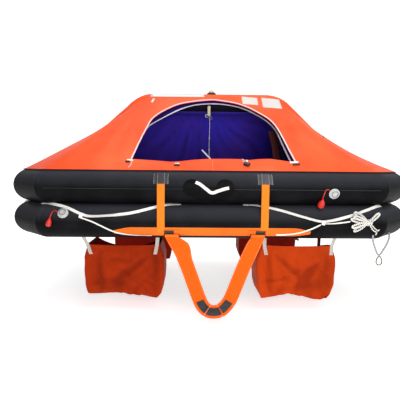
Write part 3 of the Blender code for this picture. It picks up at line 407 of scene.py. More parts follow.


# The tube skins' pale shade colours are dust and painted top light on each tube's upper half
TUBE_BLACK = TubeSkin("rubber_coated_nylon_black", Slot.TUBE, "#070708", "#37383e", 0.50)
TAPE_BLACK = TubeSkin("rubber_seam_tape_black", Slot.TUBE, "#09090a", "#3a3b41", 0.54)
ARCH_BLACK = TubeSkin("rubber_coated_nylon_arch", Slot.TUBE, "#15101d", "#1f1829", 0.5)
# Each cloth's fold colour is the painted shade in its folds
CANOPY_ORANGE = CoatedCloth("coated_nylon_canopy_orange", Slot.CANOPY, "#fb501c", "#ff6a38", 0.55,
                            fold="#c83a12")
LINER_BLUE = CoatedCloth("coated_nylon_liner_blue", Slot.LINER, "#5440f6", "#6a3acc", 0.6, crease=8 * MM,
                         fold="#1d1560")
# A darker copy of the liner cloth as painted shade, for the sleeve under the arch
LINER_SLEEVE_SHADED = CoatedCloth("coated_nylon_liner_sleeve_painted_shade", Slot.LINER, "#3a2abc", "#43268a", 0.6)
# A darker copy of the liner cloth as painted shade, for the liner's outer faces in the canopy's shadow
LINER_SHADED = CoatedCloth("coated_nylon_liner_painted_shade", Slot.LINER, "#1e1470", "#2a1f86", 0.6, crease=8 * MM,
                         fold="#140d4a")
# Maroon cloth with painted shade: the orange canopy's inside seen in shadow, and the seam's glue tape
# darkened by painted shadow
MAROON_SHADE = CoatedCloth("coated_nylon_maroon_painted_shade", Slot.CANOPY, "#3e0a0c", "#571210", 0.6, fold="#2a0608")
TRIM_WHITE = Webbing("woven_trim_white", Slot.WHITE, "#efe6ea", "#c9bcc6", 0.6)
POCKET_CLOTH = CoatedCloth("coated_nylon_pocket_orange", Slot.POCKET, "#bc3c08", "#9c2c04", 0.6,
                           crease=14 * MM, fold="#6e1602", specular=0.05)
# A darker copy of the pocket cloth as painted shade, for the front left pocket
POCKET_LEFT_SHADED = CoatedCloth("coated_nylon_pocket_left_painted_shade", Slot.POCKET, "#a22c03", "#7e1e02", 0.6,
                          crease=14 * MM, fold="#4e0e01", specular=0.05)
# A dark copy of the pocket cloth as painted shade, for the rear pockets and the bags' inner sides
POCKET_SHADED = CoatedCloth("coated_nylon_pocket_painted_shade", Slot.POCKET, "#8a1604", "#660c02", 0.6,
                            crease=7 * MM, fold="#420602", specular=0.05)
WEB_ORANGE = Webbing("woven_webbing_orange", Slot.WEBBING, "#f88420", "#c9560e", 0.62)
WEB_DEEP = Webbing("woven_webbing_deep_orange", Slot.WEBBING, "#f66004", "#cc4602", 0.62)
WEB_GREY = Webbing("woven_webbing_grey", Slot.WHITE, "#c6bfb8", "#968e86", 0.65)
# A dark copy of the webbing as painted shade, for the straps inside the pockets
WEB_SHADED = Webbing("woven_webbing_painted_shade", Slot.POCKET, "#4a120c", "#2e0a08", 0.65)
WEB_WHITE = Webbing("woven_webbing_white", Slot.WHITE, "#f2f0ea", "#bdb8ae", 0.65)
ROPE_WHITE = LaidRope("laid_rope_white", Slot.WHITE, "#f1efe8", "#8f8b82", 0.7)
ROPE_GREY = LaidRope("laid_rope_grey", Slot.WHITE, "#b9b8b6", "#5f5e5c", 0.7, lay=12 * MM, girth=31 * MM)
NYLON_BLACK = Moulding("moulded_nylon_black", Slot.BLACK_PLASTIC, "#141416", "#232326", 0.35)
PAD_BLACK = Moulding("moulded_rubber_tread_black", Slot.BLACK_PLASTIC, "#232325", "#3a3a3d", 0.55)
VALVE_WHITE = Moulding("moulded_acetal_white", Slot.VALVE, "#bdbdbb", "#b2b2af", 0.32, coat=0.2)
CAP_RED = Moulding("moulded_rubber_red", Slot.CAP, "#dc2418", "#a5160f", 0.42)
LENS_YELLOW = Lens("tinted_polycarbonate_lens", Slot.LAMP, "#d9d2b0", "#b8ad74", 0.12)
STEEL = Wire("stainless_wire", Slot.STEEL, "#8f8878", "#57524a", 0.34)
TAPE_SILVER = Reflective("retro_reflective_tape", Slot.WHITE, "#dfe2e4", "#a9adb1", 0.3)
PATCH_WHITE = CoatedCloth("coated_patch_white", Slot.WHITE, "#dcd7d2", "#cbc5bf", 0.5, fold="#b0a9a2")
PATCH_GREY = CoatedCloth("coated_patch_grey", Slot.BLACK_PLASTIC, "#3a3a3e", "#56565a", 0.5, fold="#222226")
PATCH_BLACK = TubeSkin("rubber_patch_black", Slot.TUBE, "#060607", "#101012", 0.42)
WEB_ORANGE_FLAT = CoatedCloth("webbing_orange_flat", Slot.WEBBING, "#ef701a", "#cf560a", 0.6, fold="#9a3c04")
THREAD_PALE = Moulding("bonded_thread_white", Slot.WHITE, "#efe4dc", "#cfc4bc", 0.6)
THREAD_ORANGE = Moulding("bonded_thread_pale", Slot.WEBBING, "#f6d9b8", "#d9b48a", 0.6)
FLOOR_BLACK = TubeSkin("rubber_coated_floor", Slot.FLOOR, "#232326", "#34343a", 0.5)


def placed(name: str, data: bpy.types.ID) -> Object:
    """Put a new object with its data in the scene."""
    made = bpy.data.objects.new(name, data)
    bpy.context.scene.collection.objects.link(made)
    return made


def finished(name: str, mesh: Mesh, finish: Finish, sharp: float = 40.0) -> Object:
    """Put a mesh in the scene, smooth it and give it its finish.

    Args:
        name: the piece's name.
        mesh: its mesh, in place.
        finish: what it is made of.
        sharp: least angle in degrees that stays a sharp edge.

    Returns:
        The object, at the origin.
    """
    made = placed(name, mesh)
    mesh.materials.append(finish.material())
    mesh.shade_smooth()
    mesh.set_sharp_from_angle(angle=radians(sharp))
    return made


def full_turn(count: int) -> np.ndarray:
    """Angles at even steps round a full turn."""
    return np.linspace(0, 2 * pi, count + 1)[:-1]


def paint_fold_shade(made: Object, depths: np.ndarray) -> None:
    """Store how much painted shade each point of a skin gets in its folds, from 0 to 1, for its cloth's
    finish.
    """
    layer = made.data.attributes.new("fold", "FLOAT", "POINT")
    layer.data.foreach_set("value", np.clip(depths, 0, 1).astype(np.float32).ravel())


def skin(name: str, grid: np.ndarray, finish: Finish, wrap_rows: bool = False, wrap_columns: bool = False,
         capped: bool = False, sharp: float = 40.0) -> Object:
    """Skin a grid of points with quads, and give it a UV map in metres.

    Args:
        name: the piece's name.
        grid: rows by columns by three. Faces point out where rows run up and columns run to the right.
        finish: what it is made of.
        wrap_rows: the last row joins the first.
        wrap_columns: the last column joins the first.
        capped: the first and last rows are closed by faces.
        sharp: least angle in degrees that stays a sharp edge.

    Returns:
        The finished object.
    """
    rows, columns = grid.shape[:2]
    closed = np.concatenate([grid, grid[:, :1]], axis=1) if wrap_columns else grid
    closed = np.concatenate([closed, closed[:1]], axis=0) if wrap_rows else closed
    across = np.linalg.norm(np.diff(closed, axis=1), axis=2).mean(axis=0)
    along = np.linalg.norm(np.diff(closed, axis=0), axis=2).mean(axis=1)
    u = np.concatenate([[0], np.cumsum(across)])
    v = np.concatenate([[0], np.cumsum(along)])
    faces, corners = [], []
    for i in range(closed.shape[0] - 1):
        for j in range(closed.shape[1] - 1):
            a, b = i % rows, (i + 1) % rows
            c, d = j % columns, (j + 1) % columns
            faces.append((a * columns + c, a * columns + d, b * columns + d, b * columns + c))
            corners += [(u[j], v[i]), (u[j + 1], v[i]), (u[j + 1], v[i + 1]), (u[j], v[i + 1])]
    if capped:
        faces.append(tuple(range(columns - 1, -1, -1)))
        corners += [(u[j], v[0]) for j in range(columns - 1, -1, -1)]
        faces.append(tuple((rows - 1) * columns + j for j in range(columns)))
        corners += [(u[j], v[-1]) for j in range(columns)]
    mesh = bpy.data.meshes.new(name)
    mesh.from_pydata(grid.reshape(-1, 3).tolist(), [], faces)
    layer = mesh.uv_layers.new(name="cloth")
    layer.data.foreach_set("uv", np.array(corners).ravel())
    return finished(name, mesh, finish, sharp)


def spread(points: list[Vector], spacing: float, count: int = 0) -> list[Vector]:
    """Spread points evenly along a polyline, ends kept, by their spacing or else by their count."""
    run = np.array([tuple(p) for p in points])
    reach = np.concatenate([[0], np.cumsum(np.linalg.norm(np.diff(run, axis=0), axis=1))])
    marks = np.linspace(0, reach[-1], count or max(2, int(round(reach[-1] / spacing)) + 1))
    return [Vector([float(np.interp(m, reach, run[:, k])) for k in range(3)]) for m in marks]


def smooth_route(points: list, spacing: float) -> list[Vector]:
    """Evenly spaced points of the smooth curve through the given ones."""
    stops = [Vector(p) for p in points]
    padded = [2 * stops[0] - stops[1]] + stops + [2 * stops[-1] - stops[-2]]
    fine = []
    for i in range(1, len(padded) - 2):
        a, b, c, d = padded[i - 1:i + 3]
        for k in range(16):
            t = k / 16
            fine.append(0.5 * (2 * b + (c - a) * t + (2 * a - 5 * b + 4 * c - d) * t * t
                               + (3 * b - a - 3 * c + d) * t ** 3))
    fine.append(stops[-1])
    return spread(fine, spacing)


def route_length(points: list[Vector]) -> float:
    """Length of a polyline."""
    return sum((b - a).length for a, b in zip(points, points[1:]))


def headings(points: list[Vector], closed: bool = False) -> list[Vector]:
    """Unit direction of a path at each of its points."""
    last = len(points) - 1
    if closed:
        return [(points[(i + 1) % (last + 1)] - points[i - 1]).normalized() for i in range(last + 1)]
    return [(points[min(i + 1, last)] - points[max(i - 1, 0)]).normalized() for i in range(last + 1)]


def tube(name: str, points: list[Vector], radius: float, finish: Finish, sides: int = 10,
         closed: bool = False) -> Object:
    """A round cord or bar along a path, its ends rounded over.

    Args:
        name: the piece's name.
        points: its centre line.
        radius: its radius.
        finish: what it is made of.
        sides: faces round it.
        closed: the path is a ring.

    Returns:
        The finished object.
    """
    line = [Vector(p) for p in points]
    heads = headings(line, closed)
    side = heads[0].orthogonal().normalized()
    grid = []
    for i, (point, head) in enumerate(zip(line, heads)):
        side = (side - head * side.dot(head)).normalized()
        up = head.cross(side)
        ring = circle(point, side, up, radius, sides)
        ends = [circle(point + head * (lean * radius * cos(angle) * 0.5), side, up,
                       radius * sin(angle), sides)
                for lean, angle in ((-1, 0.15), (-1, 0.8), (1, 0.8), (1, 0.15))]
        before = ends[:2] if i == 0 and not closed else []
        after = ends[2:] if i == len(line) - 1 and not closed else []
        grid += before + [ring] + after
    return skin(name, np.array(grid), finish, wrap_rows=closed, wrap_columns=True, capped=not closed,
                sharp=60)


def circle(centre: Vector, side: Vector, up: Vector, radius: float, sides: int) -> list[tuple]:
    """Points of a circle that turns from side to up."""
    return [tuple(centre + side * (radius * cos(2 * pi * k / sides))
                  + up * (radius * sin(2 * pi * k / sides))) for k in range(sides)]


def strap(name: str, points: list[Vector], faces: list[Vector], widths: list[float] | float, thick: float,
          finish: Finish, sides: list[Vector] | None = None) -> Object:
    """A flat strap with rounded edges.

    Args:
        name: the piece's name.
        points: its centre line.
        faces: vectors out of its face.
        widths: its width, or its width at each point.
        thick: its thickness.
        finish: what it is made of.
        sides: unit vectors across it, where they don't follow from its path and its face.

    Returns:
        The finished object.
    """
    sides = sides or [along.cross(face).normalized() for along, face in zip(headings(points), faces)]
    widths = widths if isinstance(widths, list) else [widths] * len(points)
    profile = [(-1, -0.6), (-0.97, -1), (-0.5, -1), (0, -1), (0.5, -1), (0.97, -1), (1, -0.6), (1, 0.6),
               (0.97, 1), (0.5, 1), (0, 1), (-0.5, 1), (-0.97, 1), (-1, 0.6)]
    grid = [[tuple(p + s * (w / 2 * a) + f.normalized() * (thick / 2 * b)) for a, b in profile]
            for p, s, f, w in zip(points, sides, faces, widths)]
    return loft(name, grid, finish)


def loft(name: str, rows: list, finish: Finish, sharp: float = 50.0, ring: bool = False) -> Object:
    """A solid through loops of points, its ends capped, or joined where it is a ring."""
    made = skin(name, np.array(rows), finish, wrap_rows=ring, wrap_columns=True, capped=not ring, sharp=sharp)
    outward(made)
    return made


def outward(made: Object) -> None:
    """Turn a closed mesh's faces outward."""
    mesh = bmesh.new()
    mesh.from_mesh(made.data)
    bmesh.ops.recalc_face_normals(mesh, faces=mesh.faces)
    mesh.to_mesh(made.data)
    mesh.free()


def apply_modifiers(made: Object) -> Object:
    """Bake an object's modifiers into its mesh."""
    bpy.context.view_layer.update()
    graph = bpy.context.evaluated_depsgraph_get()
    data = bpy.data.meshes.new_from_object(made.evaluated_get(graph), preserve_all_data_layers=True,
                                           depsgraph=graph)
    made.modifiers.clear()
    made.data = data
    return made


def thicken(made: Object, thick: float, offset: float = 0.0, inner: int = 0) -> None:
    """Give a sheet its thickness. Inner is how many material slots further its inner side takes."""
    solid = made.modifiers.new("Thickness", "SOLIDIFY")
    solid.thickness = thick
    solid.offset = offset
    solid.material_offset = inner


def ride(made: Object, *replaced: str, body: Body = Body.RAFT) -> Object:
    """Fix a piece to its body, in place of CAD nodes, and log it."""
    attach(made, body.value)
    if replaced:
        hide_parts(*replaced)
    count = len(made.data.polygons) if made.type == "MESH" else 0
    LOG.info("%s: %d faces on %s", made.name, count, body.value)
    return made


def octagon(offset: float) -> list[tuple[float, float]]:
    """Corners of the ring's outline, moved outward by an offset, front left corner first."""
    half_x, half_y = RING_HALF_X + offset, RING_HALF_Y + offset
    trim = CORNER_CUT + offset * (2 - sqrt(2))
    return [(-half_x + trim, -half_y), (half_x - trim, -half_y), (half_x, -half_y + trim),
            (half_x, half_y - trim), (half_x - trim, half_y), (-half_x + trim, half_y),
            (-half_x, half_y - trim), (-half_x, -half_y + trim)]


def over_tube(x: float, axis_z: float, angle: float, lift: float) -> Vector:
    """Point over the front tube's skin. Angle 0 faces the front and 90 degrees the sky."""
    radius = TUBE_RADIUS + lift
    return Vector((x, -RING_HALF_Y - radius * cos(angle), axis_z + radius * sin(angle)))


def out_of_tube(angle: float) -> Vector:
    """Direction straight out of the front tube's skin at an angle."""
    return Vector((0, -cos(angle), sin(angle)))


@dataclass
class BuoyancyTube:
    """One inflated ring tube, its mitre seams pinched in, with its seam tapes."""

    node: str
    axis_z: float
    seam_z: float
    sides: int = 60
    pinch: float = 1.6 * MM
    pinch_reach: float = 16 * MM
    pucker: float = 0.7 * MM
    pucker_reach: float = 45 * MM
    tape_width: float = 44 * MM
    tape_thick: float = 0.9 * MM
    mitre_tape: float = 48 * MM

    def stations(self) -> list[tuple[int, float, float]]:
        """Places round the ring, dense near its mitres: (corner, share of the side, the side's length)."""
        near = [0.0, 0.004, 0.009, 0.016, 0.026, 0.04, 0.06, 0.09]
        found = []
        for corner in range(8):
            length = self.side_length(corner)
            marks = near + list(np.arange(0.14, length - 0.13, 0.08)) + [length - m for m in near[:0:-1]]
            found += [(corner, m / length, length) for m in marks]
        return found

    def seam_angle(self) -> float:
        """Where the long seam lies round the tube."""
        return asin((self.seam_z - self.axis_z) / TUBE_RADIUS)

    def radius(self, from_mitre: float, angle: float, lift: float) -> float:
        """Skin radius by distance from the nearest mitre."""
        pinch = self.pinch * exp(-(from_mitre / self.pinch_reach) ** 2)
        fade = exp(-from_mitre / self.pucker_reach) * (1 - exp(-(from_mitre / 0.012) ** 2))
        pucker = self.pucker * fade * sin(14 * angle + 3 * sin(2 * angle))
        return TUBE_RADIUS - pinch + pucker + lift

    def section(self, corner: int, share: float, length: float, angles: list[float],
                lift: float) -> list[tuple]:
        """Points round the tube at a share of one side."""
        from_mitre = min(share, 1 - share) * length
        points = []
        for angle in angles:
            radius = self.radius(from_mitre, angle, lift)
            outline = octagon(radius * cos(angle))
            a, b = Vector(outline[corner]), Vector(outline[(corner + 1) % 8])
            spot = a.lerp(b, share)
            points.append((spot.x, spot.y, self.axis_z + radius * sin(angle)))
        return points

    def side_length(self, corner: int) -> float:
        """Length of one straight side at the tube's axis."""
        outline = octagon(0)
        return (Vector(outline[(corner + 1) % 8]) - Vector(outline[corner])).length

    def build(self) -> None:
        """Build the skin and its tapes, and put them in place."""
        angles = [2 * pi * k / self.sides for k in range(self.sides)]
        grid = [self.section(*station, angles, 0.0) for station in self.stations()]
        ride(loft(f"{self.node}_skin", grid, TUBE_BLACK, 70, True), self.node)
        self.lengthwise_tape()
        self.mitre_tapes()
        if self.axis_z == UPPER_Z:
            # A painted highlight line along the upper tube's tape edge
            self.tape_edge_highlight()

    def lengthwise_tape(self) -> None:
        """The tape over the tube's long seam."""
        half = self.tape_width / 2 / TUBE_RADIUS
        edge, face, under = 0.1 * MM, self.tape_thick, -0.4 * MM
        loop = [(-1, edge), (-0.94, face), (-0.4, face), (0.4, face), (0.94, face), (1, edge), (1, under),
                (-1, under)]
        grid = [[self.section(*station, [self.seam_angle() + half * s], lift)[0] for s, lift in loop]
                for station in self.stations()]
        ride(loft(f"{self.node}_long_tape", grid, TAPE_BLACK, ring=True))

    def tape_edge_highlight(self) -> None:
        """A painted highlight: a thin pale line along the front edge of the tape."""
        angle = self.seam_angle() - self.tape_width / 2 / TUBE_RADIUS
        half = RING_HALF_X - CORNER_CUT
        points = [over_tube(x, UPPER_Z, angle + 0.006 * sin(17 * x), 0.4 * MM)
                  for x in np.linspace(-half, half, 160)]
        ride(tube(f"{self.node}_tape_edge_highlight", points, 1.0 * MM, PATCH_GREY, 6))

    def mitre_tapes(self) -> None:
        """The tapes round the eight mitres, joined as one piece."""
        angles = [2 * pi * k / self.sides for k in range(self.sides)]
        reach = self.mitre_tape / 2
        pieces = []
        for corner in range(8):
            rows = []
            for side, offset, lift in ((-1, reach, 0.05 * MM), (-1, reach - 2 * MM, 1.1 * MM),
                                       (-1, 0.45 * reach, 1.3 * MM), (0, 0.0, 1.5 * MM),
                                       (0, 0.45 * reach, 1.3 * MM), (0, reach - 2 * MM, 1.1 * MM),
                                       (0, reach, 0.05 * MM), (0, reach, -0.5 * MM),
                                       (0, 0.0, -0.5 * MM), (-1, reach, -0.5 * MM)):
                index = (corner + side) % 8
                length = self.side_length(index)
                share = 1 - offset / length if side else offset / length
                rows.append(self.section(index, share, length, angles, lift))
            pieces.append(skin(f"{self.node}_mitre_tape_{corner}", np.array(rows), TAPE_BLACK,
                               wrap_rows=True, wrap_columns=True, sharp=50))
        made = merged(f"{self.node}_mitre_tapes", pieces)
        outward(made)
        ride(made)


def merged(name: str, pieces: list[Object]) -> Object:
    """Join meshes into one piece that keeps the first one's finish and UV map."""
    target = pieces[0]
    with bpy.context.temp_override(active_object=target, selected_editable_objects=pieces,
                                   object=target, selected_objects=pieces):
        bpy.ops.object.join()
    target.name = name
    target.data.name = name
    return target


def lathe(name: str, profile: list[tuple[float, float]], foot: Vector, axis: Vector, finish: Finish,
          sides: int = 32, ring: bool = False) -> Object:
    """Turn a profile round an axis.

    Args:
        name: the piece's name.
        profile: (radius, height) pairs, foot first. Its ends are closed by flat faces.
        foot: where height is 0.
        axis: direction of the axis.
        finish: what it is made of.
        sides: faces round it.
        ring: the profile is a closed loop, so the piece has a hole through it.

    Returns:
        The finished object.
    """
    head = Vector(axis).normalized()
    side = head.orthogonal().normalized()
    up = head.cross(side)
    grid = np.array([circle(Vector(foot) + head * height, side, up, radius, sides)
                     for radius, height in profile])
    return loft(name, grid, finish, 35, ring)


def block(name: str, centre: Vector, size: tuple, turn: Matrix, edge: float, finish: Finish) -> Object:
    """A box with rounded edges.

    Args:
        name: the piece's name.
        centre: its middle.
        size: its sides.
        turn: 3x3 rotation.
        edge: radius of its edges.
        finish: what it is made of.

    Returns:
        The finished object.
    """
    mesh = bmesh.new()
    bmesh.ops.create_cube(mesh, size=1.0)
    bmesh.ops.scale(mesh, vec=size, verts=mesh.verts)
    bmesh.ops.bevel(mesh, geom=mesh.edges, offset=edge, segments=3, profile=0.5, affect="EDGES")
    bmesh.ops.transform(mesh, matrix=Matrix.Translation(centre) @ turn.to_4x4(), verts=mesh.verts)
    data = bpy.data.meshes.new(name)
    mesh.to_mesh(data)
    mesh.free()
    return finished(name, data, finish, 35)


@dataclass
class StitchLine:
    """Sewing stitches along a path, laid by Geometry Nodes."""

    pitch: float = 7 * MM
    length: float = 5 * MM
    radius: float = 0.7 * MM

    def tree(self, finish: Finish) -> NodeTree:
        """Nodes that lay one stitch at each step of a path and turn it along the path."""
        tree = bpy.data.node_groups.new("stitches", "GeometryNodeTree")
        for way, label in (("INPUT", "Path"), ("OUTPUT", "Stitches")):
            tree.interface.new_socket(label, in_out=way, socket_type="NodeSocketGeometry")
        given = add_node(tree, "NodeGroupInput")
        line = add_node(tree, "GeometryNodeMeshToCurve", {0: given.outputs[0]})
        spaced = add_node(tree, "GeometryNodeResampleCurve", {"Curve": line.outputs[0], "Length": self.pitch},
                          mode="LENGTH")
        tangent = add_node(tree, "GeometryNodeInputTangent")
        turn = add_node(tree, "FunctionNodeAlignRotationToVector", {"Vector": tangent.outputs[0]}, axis="Z")
        ball = add_node(tree, "GeometryNodeMeshUVSphere", {"Segments": 6, "Rings": 4, "Radius": 1.0})
        laid = add_node(tree, "GeometryNodeInstanceOnPoints", {
            "Points": spaced.outputs[0], "Instance": ball.outputs[0], "Rotation": turn.outputs[0],
            "Scale": (self.radius, self.radius, self.length / 2)})
        real = add_node(tree, "GeometryNodeRealizeInstances", {0: laid.outputs[0]})
        dressed = add_node(tree, "GeometryNodeSetMaterial", {0: real.outputs[0],
                                                             "Material": finish.material()})
        add_node(tree, "NodeGroupOutput", {0: dressed.outputs[0]})
        return tree

    def sew(self, name: str, paths: list[list[Vector]], finish: Finish) -> Object:
        """Sew along paths.

        Args:
            name: the piece's name.
            paths: polylines that the stitches follow.
            finish: the thread.

        Returns:
            All the stitches as one plain mesh.
        """
        points, edges = [], []
        for path in paths:
            first = len(points)
            points += [tuple(p) for p in path]
            edges += [(first + k, first + k + 1) for k in range(len(path) - 1)]
        mesh = bpy.data.meshes.new(name)
        mesh.from_pydata(points, edges, [])
        made = placed(name, mesh)
        made.modifiers.new("Stitches", "NODES").node_group = self.tree(finish)
        apply_modifiers(made)
        made.data.shade_smooth()
        return made


@dataclass
class FloorMattress:
    """The inflated floor: two coated skins welded together along channels."""

    top_angle: float = radians(-37.5)
    thick: float = 0.040
    channel: float = 0.115
    dip: float = 9 * MM
    rim: float = 30 * MM

    def top(self) -> float:
        """Height of the inside floor."""
        return LOWER_Z + TUBE_RADIUS * sin(self.top_angle)

    def inside(self, x: float, y: float) -> float:
        """Distance from a point to the floor's outline, positive inside."""
        inset = TUBE_RADIUS * cos(self.top_angle) + GAP
        half_x, half_y = RING_HALF_X - inset, RING_HALF_Y - inset
        trim = CORNER_CUT - inset * (2 - sqrt(2))
        corner = (half_x + half_y - trim - abs(x) - abs(y)) / sqrt(2)
        return min(half_x - abs(x), half_y - abs(y), corner)

    def build(self) -> None:
        """Build the mattress as one closed skin."""
        inset = TUBE_RADIUS * cos(self.top_angle) + GAP
        outline = [Vector(p) for p in octagon(-inset)]
        ring = spread([Vector((*p, 0)) for p in outline + outline[:1]], 0.045)[:-1]
        middle = self.top() - self.thick / 2
        rows = []
        shares = [1.0, 1.0, 0.992, 0.975, 0.95] + list(np.linspace(0.92, 0.02, 40))
        for up in (-1, 1):
            for share in (reversed(shares) if up < 0 else shares):
                row = []
                for p in ring:
                    x, y = p.x * share, p.y * share
                    depth = max(self.inside(x, y), 0.0)
                    edge = sqrt(max(0.0, 1 - (1 - min(depth / self.rim, 1)) ** 2))
                    weld = exp(-((y / self.channel - round(y / self.channel)) * self.channel / 0.010) ** 2)
                    swell = edge * (self.thick / 2 - self.dip * weld * edge)
                    row.append((x, y, middle + up * max(swell, 1.5 * MM)))
                rows.append(row)
        made = loft("floor_mattress", rows, FLOOR_BLACK, 60)
        ride(made, "floor")


@dataclass
class ArchLine:
    """The arch's centre line and what is measured along it."""

    radius: float = 0.082
    shift: float = 0.017
    half_foot: float = 1.25
    foot_z: float = 0.33
    half_top: float = 0.563
    top_z: float = 0.955
    bend: float = 0.20
    trim: float = 0.02
    start: float = 0.13
    side_columns: int = 6
    corner_columns: int = 3
    front_columns: int = 14

    def corner(self, before: Vector, corner: Vector, after: Vector, steps: int) -> list[Vector]:
        """Points of the arc that rounds one corner."""
        to_before = (before - corner).normalized()
        to_after = (after - corner).normalized()
        half = to_before.angle(to_after) / 2
        centre = corner + (to_before + to_after).normalized() * (self.bend / sin(half))
        start = corner + to_before * (self.bend / tan(half))
        end = corner + to_after * (self.bend / tan(half))
        turn = (start - centre).angle(end - centre)
        axis = (start - centre).cross(end - centre).normalized()
        return [centre + Matrix.Rotation(turn * k / steps, 3, axis) @ (start - centre)
                for k in range(steps + 1)]

    def stops(self) -> list[Vector]:
        """Left foot, both bends and right foot."""
        return [Vector((x, 0, z)) for x, z in (
            (-self.half_foot, self.foot_z), (self.shift - self.half_top, self.top_z),
            (self.shift + self.half_top, self.top_z), (self.half_foot, self.foot_z))]

    def points(self, steps: int = 24) -> list[Vector]:
        """Centre line from the left foot to the right foot."""
        stops = self.stops()
        return [stops[0]] + self.corner(*stops[:3], steps) + self.corner(*stops[1:], steps) + [stops[-1]]

    def marks(self, fine: int) -> np.ndarray:
        """Distances along the arch for the cloth's columns, each CAD column split into fine ones."""
        foot, left_bend = self.stops()[:2]
        right_bend = Vector((self.shift + self.half_top - 2 * self.half_foot, 0, self.top_z))
        left_leg, right_leg = (left_bend - foot).length, (right_bend - foot).length
        length = route_length(self.points())
        leg = (self.side_columns + self.corner_columns) * fine
        left = np.linspace(self.start, left_leg - self.trim, leg + 1)
        right = np.linspace(length - right_leg + self.trim, length - self.start, leg + 1)
        top = np.linspace(left[-1], right[0], self.front_columns * fine + 1)[1:-1]
        return np.concatenate([left, top, right])

    def frames(self, fine: int) -> list[tuple[Vector, Vector]]:
        """Centre point and outward normal at each column's mark."""
        line = spread(self.points(), 0.004)
        found = []
        for mark in self.marks(fine):
            place = min(max(mark / (line[1] - line[0]).length, 0), len(line) - 1.001)
            i = int(place)
            along = (line[i + 1] - line[i]).normalized()
            found.append((line[i].lerp(line[i + 1], place - i), Vector((-along.z, 0, along.x))))
        return found

    def base(self, offset: float, z: float, side_start: float, fine: int) -> np.ndarray:
        """Points on the ring's front half for each column, from the left side to the right side."""
        corners = octagon(offset)
        half_x, start = RING_HALF_X + offset, -side_start
        stops = [(-half_x, start), corners[7], *corners[:3], (half_x, start)]
        counts = [self.side_columns, self.corner_columns, self.front_columns, self.corner_columns,
                  self.side_columns]
        points = [np.array((*stops[0], z))]
        for a, b, count in zip(stops, stops[1:], counts):
            low, high = np.array((*a, z)), np.array((*b, z))
            points += [low + (high - low) * k / (count * fine) for k in range(1, count * fine + 1)]
        return np.array(points)


@dataclass
class Arch:
    """The inflated arch tube that carries the canopy, and the liner's blue sleeve under it."""

    line: ArchLine
    sleeve: tuple[float, float] = (-0.46, 0.49)
    sleeve_turns: tuple[float, float] = (-75.0, 43.0)
    sleeve_lift: float = 1.2 * MM

    def build(self) -> None:
        """Build the tube, whose ends lie inside the upper tube's skin, and the sleeve."""
        made = tube("arch_skin", spread(self.line.points(), 0.03), self.line.radius, ARCH_BLACK, 48)
        outward(made)
        ride(made, "arch_tube")
        radius = self.line.radius + self.sleeve_lift
        rows = [[(x, -radius * sin(a), self.line.top_z - radius * cos(a))
                 for x in np.linspace(*self.sleeve, 60)]
                for a in np.radians(np.linspace(*self.sleeve_turns, 24))]
        # The sleeve takes the darker liner copy: painted shade
        sleeve = skin("arch_sleeve_cloth", np.array(rows), LINER_SLEEVE_SHADED, sharp=60)
        thicken(sleeve, 1 * MM)
        apply_modifiers(sleeve)
        ride(sleeve)


